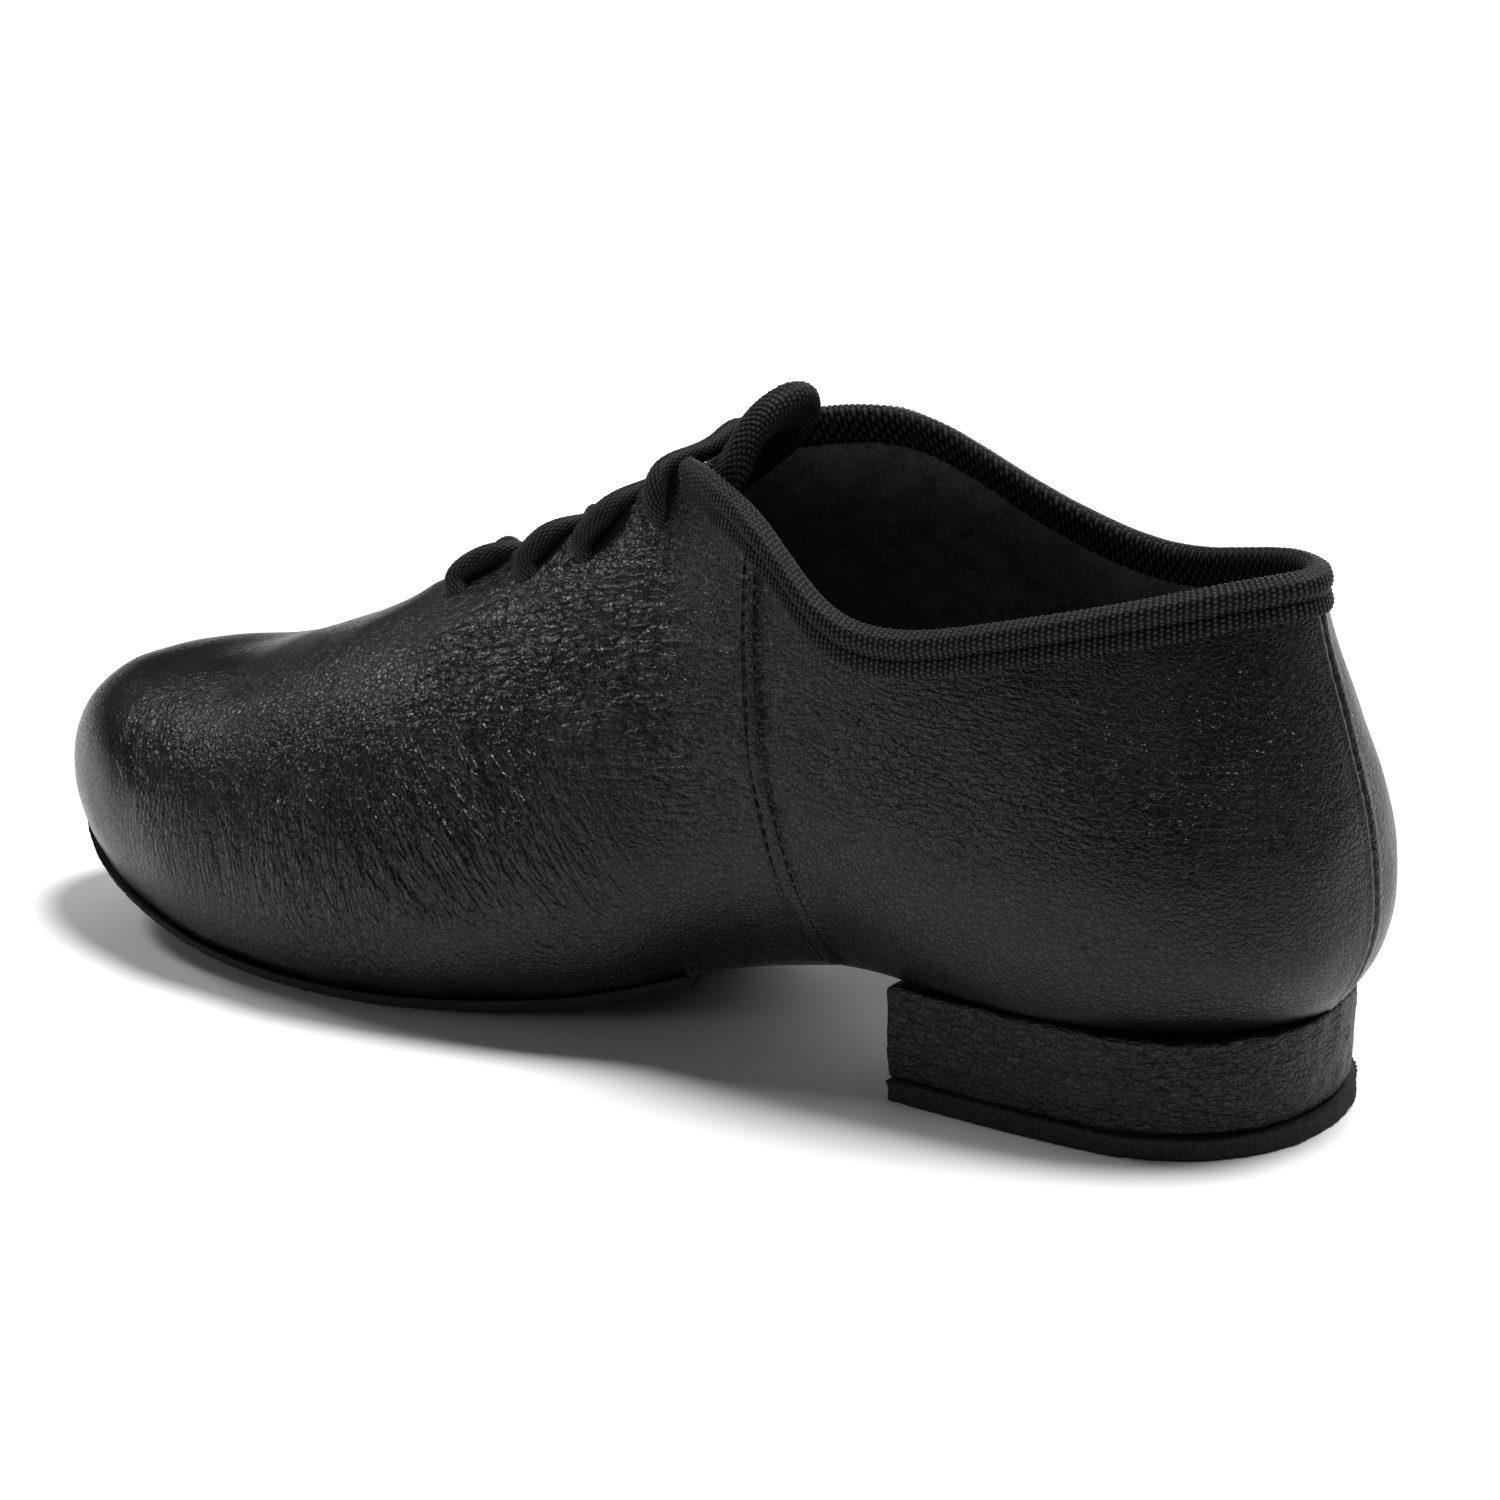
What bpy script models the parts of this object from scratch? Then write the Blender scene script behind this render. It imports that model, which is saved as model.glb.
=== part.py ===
"""Split-sole jazz shoe for the right foot, as a shoemaker puts it together.

The upper is a skin over the last. Ribs run from the feather line, where the upper turns under the foot,
to the crest: the line over the instep and the toes, and over where the ankle would be. The collar cuts the
ribs off at its own heights. Metres, Z up, toe along +X, inner side of the foot along +Y, floor at Z = 0,
middle of the heel's face on the floor at the origin.
"""
import math

import bmesh
import bpy
import numpy as np

# The last
SHOE_LENGTH = 0.2700
BALL_WIDTH = 0.0940
SEAT_HEIGHT = 0.0225
CORNER_HEIGHT = 0.1050
HEEL_CENTRE = 0.0360

# The upper
WALL = 0.0015
ROUND_IN = 0.0050
MARGIN = 0.0100
UNDER_DROP = 0.0002
SEAM_HALF_WIDTH = 0.0023
SEAM_SLOPE = 0.0006
SEAM_RAISE = 0.0005
HOLE_DIAMETER = 0.0046
HOLE_SETBACK = 0.0062

# Soles and heel
GAP = 0.0003
SOLE_THICKNESS = 0.0024
SOLE_EDGE = 0.0009
SOLE_UNDERCUT = 0.0012
HEEL_LENGTH = 0.0730
HEEL_WIDTH = 0.0672
BREAST_WIDTH = 0.0610
HEEL_TAPER = 0.0008
LIFT_THICKNESS = 0.0040
LIFT_EDGE = 0.0007
HEEL_ROUND = 0.0007

# Inside
INSOLE_THICKNESS = 0.0020
INSOLE_INSET = 0.0034

# Tongue, tapes and lace
TONGUE_THICKNESS = 0.0018
TONGUE_RISE = 0.0145
TONGUE_LAP = 0.0110
TONGUE_DROP = 0.0018
TONGUE_CROWN = 0.0015
TAPE_THICKNESS = 0.0008
TAPE_ROLL = 0.0008
TAPE_GAP = 0.0004
COLLAR_TAPE_HEIGHT = 0.0062
TONGUE_TAPE_HEIGHT = 0.0065
LACE_DIAMETER = 0.0044
LACE_RISE = 0.0016

# The feather line: ribs up to the next row, then where the inner side (i) and the outer side (o) of the
# foot's outline lie, along as shares of SHOE_LENGTH, across as shares of BALL_WIDTH, rise as shares of
# SEAT_HEIGHT. The last column is the height of the underside's middle: 0 where the sole lies flat on the
# floor, 1 over the heel.
FEATHER = [
    # row, ribs, i_along, i_across, i_rise, o_along, o_across, o_rise, underside
    ("back",         3, 0.0000,  0.000, 1.013, 0.0000,  0.000, 1.013, 1.000),
    ("heel round",   3, 0.0296,  0.218, 1.000, 0.0296, -0.223, 1.000, 1.000),
    ("heel side",    3, 0.1037,  0.330, 1.000, 0.1037, -0.335, 1.000, 1.000),
    ("seat",         3, 0.1852,  0.340, 1.000, 0.1852, -0.346, 1.000, 1.000),
    ("breast",       3, 0.2740,  0.298, 1.013, 0.2740, -0.335, 1.013, 1.000),
    ("side seam",    3, 0.3259,  0.250, 0.956, 0.3407, -0.351, 0.902, 0.872),
    ("collar front", 3, 0.4111,  0.239, 0.711, 0.4148, -0.394, 0.676, 0.587),
    ("facing",       3, 0.4963,  0.319, 0.400, 0.4926, -0.447, 0.409, 0.241),
    ("instep",       4, 0.5741,  0.394, 0.258, 0.5667, -0.489, 0.249, 0.052),
    ("throat end",   3, 0.6593,  0.452, 0.209, 0.6519, -0.511, 0.204, 0.000),
    ("ball",         3, 0.7407,  0.457, 0.222, 0.7370, -0.500, 0.213, 0.000),
    ("joint",        3, 0.8185,  0.426, 0.311, 0.8111, -0.447, 0.284, 0.087),
    ("big toe",      4, 0.8889,  0.362, 0.489, 0.8833, -0.372, 0.453, 0.305),
    ("toe",          4, 0.9556,  0.234, 0.711, 0.9500, -0.223, 0.684, 0.585),
    ("tip",          0, 0.9944,  0.043, 0.911, 0.9944,  0.043, 0.911, 0.827),
]

# The crest that the ribs lean to, in the same shares, with rise as shares of CORNER_HEIGHT.
CREST = [
    # row, i_along, i_across, i_rise, o_along, o_across, o_rise
    ("back",         0.0259,  0.000, 1.0095, 0.0259,  0.000, 1.0095),
    ("heel round",   0.0556,  0.138, 1.0095, 0.0556, -0.138, 1.0095),
    ("heel side",    0.1296,  0.234, 1.0286, 0.1259, -0.255, 1.0286),
    ("seat",         0.2111,  0.277, 1.0667, 0.2037, -0.330, 1.0667),
    ("breast",       0.3074,  0.266, 1.1143, 0.3000, -0.330, 1.1143),
    ("side seam",    0.3926,  0.181, 1.1238, 0.3815, -0.255, 1.1238),
    ("collar front", 0.4778,  0.085, 1.0000, 0.4630, -0.128, 1.0381),
    ("facing",       0.5370,  0.074, 0.8905, 0.5296, -0.096, 0.9095),
    ("instep",       0.6074,  0.053, 0.7952, 0.6037, -0.064, 0.8000),
    ("throat end",   0.6963,  0.000, 0.6952, 0.6963,  0.000, 0.6952),
    ("ball",         0.7630,  0.000, 0.6095, 0.7630,  0.000, 0.6095),
    ("joint",        0.8222,  0.000, 0.5448, 0.8222,  0.000, 0.5448),
    ("big toe",      0.8667,  0.000, 0.5124, 0.8667,  0.000, 0.5124),
    ("toe",          0.9037,  0.011, 0.4948, 0.9037,  0.011, 0.4948),
    ("tip",          0.9259,  0.021, 0.4790, 0.9259,  0.021, 0.4790),
]

# The form of each rib: how far it leans out at its foot on each side and how far it has turned over at the
# crest, in degrees, and how long it keeps each direction, as shares of its own chord.
RIB_FORM = [
    # row, i_flare, o_flare, foot_hold, lean, crest_hold
    ("back",         42, 42, 0.36,  4, 0.30),
    ("heel round",   40, 48, 0.36,  4, 0.30),
    ("heel side",    31, 41, 0.36,  6, 0.30),
    ("seat",         29, 33, 0.36,  6, 0.30),
    ("breast",       34, 32, 0.36,  8, 0.30),
    ("side seam",    43, 32, 0.38, 14, 0.30),
    ("collar front", 50, 32, 0.40, 38, 0.34),
    ("facing",       46, 32, 0.40, 52, 0.36),
    ("instep",       40, 34, 0.40, 66, 0.38),
    ("throat end",   34, 34, 0.40, 84, 0.42),
    ("ball",         30, 32, 0.42, 90, 0.46),
    ("joint",        28, 30, 0.44, 90, 0.48),
    ("big toe",      24, 28, 0.46, 90, 0.50),
    ("toe",          25, 25, 0.48, 85, 0.52),
    ("tip",          25, 25, 0.50, 79, 0.50),
]

# The collar's height above the floor on each side, as shares of CORNER_HEIGHT.
COLLAR = [
    # row, i_rise, o_rise
    ("back",         0.948, 0.948),
    ("heel round",   0.943, 0.938),
    ("heel side",    0.900, 0.890),
    ("seat",         0.850, 0.862),
    ("breast",       0.832, 0.938),
    ("side seam",    0.957, 1.050),
    ("collar front", 1.000, 1.038),
]

# Punched holes, from the toe end up: the rib they lie on, as row and share of the way to the next row.
LACE_HOLES = [("throat end", -0.25), ("instep", 0.0), ("facing", 0.3333), ("collar front", 0.3333)]

ROWS = [record[0] for record in FEATHER]
WALL_STEPS = 10
TRACE_STEPS = 240

BLACK_LEATHER = (0.020, 0.019, 0.019)
BLACK_TAPE = (0.018, 0.018, 0.019)
BLACK_CORD = (0.012, 0.012, 0.012)
BLACK_RUBBER = (0.014, 0.014, 0.014)


def clear_scene():
    for old in list(bpy.data.objects):
        bpy.data.objects.remove(old, do_unlink=True)


def make_collection(name):
    collection = bpy.data.collections.new(name)
    bpy.context.scene.collection.children.link(collection)
    return collection


def principled(name, colour, roughness):
    material = bpy.data.materials.new(name)
    material.use_nodes = True
    shader = material.node_tree.nodes["Principled BSDF"]
    shader.inputs["Base Color"].default_value = (*colour, 1.0)
    shader.inputs["Roughness"].default_value = roughness
    shader.inputs["Metallic"].default_value = 0.0
    return material


def column(table, index):
    return np.array([record[index] for record in table], dtype=float)


def spline(at, values, where):
    """Natural cubic through values at the places at, read at where. values has one or more columns."""
    count = len(at)
    span = np.diff(at)
    slope = np.diff(values, axis=0) / span[:, None]
    system = np.zeros((count, count))
    right = np.zeros_like(values)
    system[0, 0] = system[-1, -1] = 1.0
    for i in range(1, count - 1):
        system[i, i - 1:i + 2] = (span[i - 1], 2 * (span[i - 1] + span[i]), span[i])
        right[i] = 6 * (slope[i] - slope[i - 1])
    bend = np.linalg.solve(system, right)
    k = np.clip(np.searchsorted(at, where, side="right") - 1, 0, count - 2)
    return spline_piece(values, bend, k, k + 1, (where - at[k])[:, None], span[k][:, None])


def closed_spline(at, values, total, where):
    """Cubic round a closed line of length total."""
    count = len(at)
    span = np.diff(np.append(at, at[0] + total))
    slope = (np.roll(values, -1, 0) - values) / span[:, None]
    system = np.zeros((count, count))
    for i in range(count):
        system[i, i - 1] += span[i - 1]
        system[i, i] += 2 * (span[i - 1] + span[i])
        system[i, (i + 1) % count] += span[i]
    bend = np.linalg.solve(system, 6 * (slope - np.roll(slope, 1, 0)))
    where = np.mod(where, total)
    k = np.clip(np.searchsorted(at, where, side="right") - 1, 0, count - 1)
    return spline_piece(values, bend, k, (k + 1) % count, (where - at[k])[:, None], span[k][:, None])


def spline_piece(values, bend, start, end, along, span):
    left = span - along
    curved = (bend[start] * left ** 3 + bend[end] * along ** 3) / (6 * span)
    from_start = (values[start] / span - bend[start] * span / 6) * left
    from_end = (values[end] / span - bend[end] * span / 6) * along
    return curved + from_start + from_end


def unit(vectors):
    return vectors / np.maximum(np.linalg.norm(vectors, axis=-1, keepdims=True), 1e-12)


def chord_lengths(points):
    return np.concatenate([[0.0], np.cumsum(np.linalg.norm(np.diff(points, axis=0), axis=1))])


def rib_keys():
    """Each rib as its row plus the share of the way to the next row."""
    keys = []
    for row, record in enumerate(FEATHER[:-1]):
        keys += [row + step / record[1] for step in range(record[1])]
    return np.array(keys + [float(len(FEATHER) - 1)])


def feather_points(keys):
    """Feather points, flare and hold of every rib round the closed outline, inner side first."""
    last_row = len(FEATHER) - 1
    scale = np.array([SHOE_LENGTH, BALL_WIDTH, SEAT_HEIGHT])
    inner = np.stack([column(FEATHER, i) for i in (2, 3, 4)], axis=1) * scale
    outer = np.stack([column(FEATHER, i) for i in (5, 6, 7)], axis=1) * scale
    inner_form = np.stack([column(RIB_FORM, i) for i in (1, 3, 4, 5)], axis=1)
    outer_form = np.stack([column(RIB_FORM, i) for i in (2, 3, 4, 5)], axis=1)
    loop = np.vstack([inner, outer[-2:0:-1]])
    form = np.vstack([inner_form, outer_form[-2:0:-1]])
    arc = chord_lengths(np.vstack([loop, loop[:1]]))
    row_places = np.concatenate([keys, 2 * last_row - keys[-2:0:-1]])
    where = spline(np.arange(float(len(arc))), arc[:, None], row_places)[:, 0]
    points = closed_spline(arc[:-1], loop, arc[-1], where)
    return points, closed_spline(arc[:-1], form, arc[-1], where)


def crest_points(keys):
    """Crest points of both sides: one curve round the back and down both facings, and one over the toes."""
    scale = np.array([SHOE_LENGTH, BALL_WIDTH, CORNER_HEIGHT])
    throat, tip = ROWS.index("throat end"), len(ROWS) - 1
    sides = [np.stack([column(CREST, i) for i in columns], axis=1) * scale for columns in ((1, 2, 3), (4, 5, 6))]
    made = []
    for rows, other in (sides, sides[::-1]):
        points = np.zeros((len(keys), 3))
        runs = [(np.vstack([other[throat:0:-1], rows[:throat + 1]]), -throat, 0, throat),
                (rows[throat:tip + 1], throat, throat, tip)]
        for run, first, start, end in runs:
            arc = chord_lengths(run)
            inside = (keys >= start - 1e-9) & (keys <= end + 1e-9)
            where = spline(np.arange(float(first), first + len(run)), arc[:, None], keys[inside])[:, 0]
            points[inside] = spline(arc, run, where)
        made.append(points)
    return made


def collar_heights(keys, index):
    """Height of the collar on each rib of one side; ribs past the corner aren't cut."""
    heights = np.full(len(keys), np.inf)
    behind = keys < ROWS.index("collar front") - 1e-9
    rows = column(COLLAR, index)[:, None] * CORNER_HEIGHT
    heights[behind] = spline(np.arange(float(len(COLLAR))), rows, keys[behind])[:, 0]
    return heights


def underside_heights(keys):
    """Height of the underside's middle. Straight between rows, so the flat spot under the ball is flat."""
    low = SOLE_THICKNESS + GAP
    high = SEAT_HEIGHT - UNDER_DROP
    return np.interp(keys, np.arange(len(FEATHER)), low + (high - low) * column(FEATHER, 8))


def mirror_side(values):
    """Values of one side's ribs, continued round the outline as the other side lists them."""
    return values[-2:0:-1]


def outward(points):
    """Directions square to a closed line in plan, away from its middle."""
    along = np.roll(points, -1, 0) - np.roll(points, 1, 0)
    out = unit(np.stack([along[:, 1], -along[:, 0], np.zeros(len(points))], axis=1))
    if np.sum(out * (points - points.mean(0))) < 0:
        out = -out
    return out


def trace_ribs():
    """Every rib as TRACE_STEPS + 1 points from the feather line up to the collar, throat or ridge."""
    keys = rib_keys()
    foot, form = feather_points(keys)
    inner_crest, outer_crest = crest_points(keys)
    crest = np.vstack([inner_crest, mirror_side(outer_crest)])
    cut = np.concatenate([collar_heights(keys, 1), mirror_side(collar_heights(keys, 2))])
    flare = np.radians(form[:, :1])
    lean = np.radians(np.clip(form[:, 2:3], 0, 90))
    chord = np.linalg.norm(crest - foot, axis=1)[:, None]
    out = outward(foot)
    up = np.array([0.0, 0.0, 1.0])
    foot_end = foot + (out * np.sin(flare) + up * np.cos(flare)) * form[:, 1:2] * chord
    to_foot = foot - crest
    to_foot[:, 2] = 0.0
    turned = np.clip((form[:, 2:3] - 20) / 50, 0, 1)
    side = unit(out * (1 - turned) + unit(to_foot) * turned)
    crest_end = crest + (side * np.sin(lean) - up * np.cos(lean)) * form[:, 3:4] * chord
    share = np.linspace(0, 1, 401)[:, None]
    ribs = []
    for i in range(len(foot)):
        curve = ((1 - share) ** 3 * foot[i] + 3 * (1 - share) ** 2 * share * foot_end[i]
                 + 3 * (1 - share) * share ** 2 * crest_end[i] + share ** 3 * crest[i])
        above = np.nonzero(curve[:, 2] > cut[i])[0]
        if len(above):
            k = above[0]
            part = (cut[i] - curve[k - 1, 2]) / (curve[k, 2] - curve[k - 1, 2])
            curve = np.vstack([curve[:k], curve[k - 1] + part * (curve[k] - curve[k - 1])])
        arc = chord_lengths(curve)
        where = np.linspace(0, arc[-1], TRACE_STEPS + 1)
        ribs.append(np.stack([np.interp(where, arc, curve[:, axis]) for axis in range(3)], axis=1))
    return keys, np.array(ribs) - np.array([HEEL_CENTRE, 0.0, 0.0])


class Skin:
    """The outer face of the upper as ribs, with the outward direction at each point."""

    def __init__(self):
        self.keys, self.ribs = trace_ribs()
        self.count = len(self.ribs)
        self.lengths = np.linalg.norm(np.diff(self.ribs, axis=1), axis=2).sum(1)
        self.normals = self._normals()

    def _normals(self):
        across = np.roll(self.ribs, -1, 0) - np.roll(self.ribs, 1, 0)
        up = np.gradient(self.ribs, axis=1)
        normals = unit(np.cross(up, across))
        if np.sum(normals * (self.ribs - self.ribs.mean((0, 1)))) < 0:
            normals = -normals
        ridge = ROWS.index("throat end")
        for i in range(self.count):
            if self.key(i) >= ridge - 1e-9:
                joined = normals[i, -3] + normals[-i % self.count, -3]
                normals[i, -2:] = unit(joined)
        return normals

    def key(self, i):
        i %= self.count
        return self.keys[i] if i < len(self.keys) else self.keys[self.count - i]

    def index(self, key, outer=False):
        i = int(np.argmin(np.abs(self.keys - key)))
        return -i % self.count if outer else i

    def at(self, i, down, lift=0.0):
        """The point that lies down metres below the top of rib i and lift metres off the skin."""
        i %= self.count
        place = np.clip(1 - down / self.lengths[i], 0, 1) * TRACE_STEPS
        k = min(int(place), TRACE_STEPS - 1)
        part = place - k
        point = self.ribs[i, k] * (1 - part) + self.ribs[i, k + 1] * part
        normal = unit(self.normals[i, k] * (1 - part) + self.normals[i, k + 1] * part)
        if down < 0:
            point = point - unit(self.ribs[i, -1] - self.ribs[i, -8]) * down
        return point + normal * lift


def rib_grid(skin):
    """Ribs of each side with their two rows under the foot, as (side, rib, row, xyz), and the ribs' keys."""
    foot = skin.ribs[:, 0]
    out = outward(foot)
    under = underside_heights(skin.keys)
    under = np.concatenate([under, mirror_side(under)])
    rows = []
    for inset in (MARGIN, ROUND_IN):
        ring = foot - out * inset
        ring[:, 2] = under
        rows.append(ring)
    picks = np.linspace(0, TRACE_STEPS, WALL_STEPS + 1).round().astype(int)
    grid = np.concatenate([np.stack(rows, axis=1), skin.ribs[:, picks]], axis=1)
    normals = np.concatenate([np.zeros((skin.count, 2, 3)), skin.normals[:, picks]], axis=1)
    side = len(skin.keys)
    inner = np.arange(side)
    outer = -inner % skin.count
    return np.stack([grid[inner], grid[outer]]), np.stack([normals[inner], normals[outer]])


def add_seam_ribs(skin, grid, normals):
    """Raise a band along both side seams: four ribs more on each side, at the band's edges and slopes."""
    seam = skin.index(ROWS.index("side seam"))
    near, far = SEAM_HALF_WIDTH, SEAM_HALF_WIDTH + SEAM_SLOPE
    before, after = [], []
    for direction, reach, store in ((-1, far, before), (-1, near, before), (1, near, after), (1, far, after)):
        step = grid[:, seam + direction] - grid[:, seam]
        share = np.clip(reach / np.linalg.norm(step, axis=-1, keepdims=True), 0, 0.9)
        raised = SEAM_RAISE if reach == near else 0.0
        store.append((grid[:, seam] + step * share, raised))
    middle = grid[:, seam] + normals[:, seam] * SEAM_RAISE
    raised_ribs = [points + normals[:, seam] * raised for points, raised in before]
    raised_ribs.append(middle)
    raised_ribs += [points + normals[:, seam] * raised for points, raised in after]
    new_grid = np.concatenate([grid[:, :seam], np.stack(raised_ribs, axis=1), grid[:, seam + 1:]], axis=1)
    extra = np.array([-0.02, -0.01, 0.0, 0.01, 0.02]) + skin.keys[seam]
    keys = np.concatenate([skin.keys[:seam], extra, skin.keys[seam + 1:]])
    return keys, new_grid


def mesh_object(name, points, faces, collection, material):
    mesh = bpy.data.meshes.new(name)
    mesh.from_pydata([tuple(point) for point in points], [], faces)
    mesh.validate()
    item = bpy.data.objects.new(name, mesh)
    collection.objects.link(item)
    if material:
        mesh.materials.append(material)
    return item


def outward_faces(item):
    """Turn a closed or open mesh's faces to agree, and a closed one's to face out."""
    work = bmesh.new()
    work.from_mesh(item.data)
    bmesh.ops.recalc_face_normals(work, faces=work.faces)
    work.to_mesh(item.data)
    work.free()


def upper_sheet(keys, grid):
    """The upper's outer face: walls, margin turned under, and the waist closed between sole and heel."""
    side, rows = grid.shape[1], grid.shape[2]
    throat = ROWS.index("throat end")
    points, faces, numbers = [], [], {}

    def number(which, rib, row):
        single = rib in (0, side - 1) or (row == rows - 1 and keys[rib] >= throat - 1e-9)
        name = (0 if single else which, rib, row)
        if name not in numbers:
            numbers[name] = len(points)
            points.append(grid[name])
        return numbers[name]

    for which in (0, 1):
        for rib in range(side - 1):
            for row in range(rows - 1):
                a, b = number(which, rib, row), number(which, rib + 1, row)
                c, d = number(which, rib + 1, row + 1), number(which, rib, row + 1)
                faces.append([a, b, c, d] if which == 0 else [a, d, c, b])
    first = int(np.argmin(np.abs(keys - ROWS.index("breast"))))
    last = int(np.argmin(np.abs(keys - ROWS.index("collar front"))))
    lines = []
    for rib in range(first, last + 1):
        start = len(points)
        points.append((grid[0, rib, 0] + grid[1, rib, 0]) / 2)
        lines.append([number(0, rib, 0), start, number(1, rib, 0)])
    faces += strips(lines)
    return np.array(points), faces


def strips(lines):
    """Quads between neighbouring lines of point numbers; a repeated number makes a triangle."""
    faces = []
    for one, two in zip(lines, lines[1:]):
        for k in range(len(one) - 1):
            corners = [one[k], one[k + 1], two[k + 1], two[k]]
            faces.append(list(dict.fromkeys(corners)))
    return faces


def hole_places(skin):
    """Point and outward direction of each punched hole, as (inner, outer) pairs from the toe end up."""
    places = []
    for row, share in LACE_HOLES:
        pair = []
        for outer in (False, True):
            i = skin.index(ROWS.index(row) + share, outer)
            point = skin.at(i, HOLE_SETBACK)
            pair.append((i, point, unit(skin.at(i, HOLE_SETBACK, 1.0) - point)))
        places.append(pair)
    return places


def make_hole_cutters(skin, cutters):
    made = []
    for n, pair in enumerate(hole_places(skin)):
        for side, (_, point, normal) in zip("io", pair):
            bpy.ops.mesh.primitive_cylinder_add(vertices=12, radius=HOLE_DIAMETER / 2, depth=WALL * 6)
            cutter = bpy.context.object
            cutter.name = f"hole_cutter_{side}{n + 1}"
            cutter.location = point
            cutter.rotation_mode = "QUATERNION"
            cutter.rotation_quaternion = direction_quaternion(normal)
            move_to(cutter, cutters)
            made.append(cutter)
    return made


def direction_quaternion(direction):
    """Turn +Z to the direction."""
    x, y, z = (float(value) for value in direction)
    axis = np.array([-y, x, 0.0])
    angle = math.acos(max(-1.0, min(1.0, z)))
    axis = unit(axis) * math.sin(angle / 2)
    return (math.cos(angle / 2), axis[0], axis[1], axis[2])


def move_to(item, collection):
    for old in list(item.users_collection):
        old.objects.unlink(item)
    collection.objects.link(item)
    if collection.name == "cutters":
        item.hide_render = True
        item.display_type = "WIRE"


def make_upper(skin, parts, cutters, leather):
    grid, normals = rib_grid(skin)
    keys, grid = add_seam_ribs(skin, grid, normals)
    points, faces = upper_sheet(keys, grid)
    upper = mesh_object("upper", points, faces, parts, leather)
    outward_faces(upper)
    if upper_faces_in(upper):
        upper.data.flip_normals()
    wall = upper.modifiers.new("wall", "SOLIDIFY")
    wall.thickness = WALL
    wall.offset = -1.0
    wall.use_even_offset = True
    wall.use_rim = True
    for cutter in make_hole_cutters(skin, cutters):
        hole = upper.modifiers.new("lace hole", "BOOLEAN")
        hole.operation = "DIFFERENCE"
        hole.solver = "EXACT"
        hole.object = cutter
    return upper


def upper_faces_in(item):
    """True where the sheet's faces point to its middle."""
    middle = np.mean([vertex.co for vertex in item.data.vertices], axis=0)
    total = 0.0
    for face in item.data.polygons:
        total += face.area * float(np.dot(face.normal, np.array(face.center) - middle))
    return total < 0


def plan_rings(skin, insets):
    """Rings in plan at given insets from the feather line, each at the underside's height there."""
    foot = skin.ribs[:, 0]
    out = outward(foot)
    under = underside_heights(skin.keys)
    under = np.concatenate([under, mirror_side(under)])
    rings = []
    for inset in insets:
        ring = foot - out * inset
        share = np.clip(inset / ROUND_IN, 0, 1)
        ring[:, 2] = foot[:, 2] * (1 - share) + under * share
        rings.append(ring)
    return rings


def plate(name, skin, rings, first_key, rise, thickness, undercut, parts, material):
    """A plate that follows the underside from first_key to the tip, its end rounded, thickness along Z. Its
    far face is drawn in by the undercut round the rim."""
    side = len(skin.keys)
    first = int(np.argmin(np.abs(skin.keys - first_key)))
    points, numbers = [], {}

    def number(ring, which, rib):
        single = rib in (0, side - 1)
        name = (ring, 0 if single else which, rib)
        if name not in numbers:
            numbers[name] = len(points)
            i = rib if which == 0 or single else -rib % skin.count
            points.append(rings[ring][i] + np.array([0.0, 0.0, rise]))
        return numbers[name]

    faces = []
    inmost = len(rings) - 1
    for which in (0, 1):
        for ring in range(inmost):
            start = max(first - ring, 0)
            if start > 0:
                faces.append([number(ring, which, start), number(ring + 1, which, start),
                              number(ring + 1, which, start - 1)])
            for rib in range(start, side - 1):
                faces.append([number(ring + 1, which, rib), number(ring + 1, which, rib + 1),
                              number(ring, which, rib + 1), number(ring, which, rib)])
    lines = []
    for rib in range(max(first - inmost, 0), side):
        ends = number(inmost, 0, rib), number(inmost, 1, rib)
        start = len(points)
        if ends[0] == ends[1]:
            lines.append([ends[0]] * 3)
            continue
        points.append((points[ends[0]] + points[ends[1]]) / 2)
        lines.append([ends[0], start, ends[1]])
    faces += strips(lines)
    drawn_in = outward(skin.ribs[:, 0]) * undercut
    far = [point + np.array([0.0, 0.0, thickness]) for point in points]
    for (ring, which, rib), k in numbers.items():
        if ring == 0:
            far[k] = far[k] - drawn_in[rib if which == 0 else -rib % skin.count]
    item = mesh_object(name, points + far, closed_faces(faces, len(points)), parts, material)
    outward_faces(item)
    return item


def closed_faces(faces, count):
    """Faces of a sheet, the same again count points on, and a wall along the sheet's border."""
    uses = {}
    for face in faces:
        for one, two in zip(face, face[1:] + face[:1]):
            edge = (min(one, two), max(one, two))
            uses[edge] = uses.get(edge, 0) + 1
    wall = [[one, two, two + count, one + count] for (one, two), used in uses.items() if used == 1]
    return faces + [[k + count for k in face] for face in faces] + wall


def make_insole(skin, parts, board):
    rings = plan_rings(skin, (INSOLE_INSET, MARGIN))
    return plate("insole", skin, rings, 0, WALL + 3 * GAP, INSOLE_THICKNESS, 0.0, parts, board)


def make_outsole(skin, parts, sole_leather):
    rings = plan_rings(skin, (0.0, ROUND_IN, MARGIN))
    rings[0] = rings[0] + outward(skin.ribs[:, 0]) * SOLE_EDGE
    first_key = ROWS.index("collar front") + 0.3333
    return plate("forefoot_outsole", skin, rings, first_key, -GAP, -SOLE_THICKNESS, SOLE_UNDERCUT, parts,
                 sole_leather)


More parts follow.
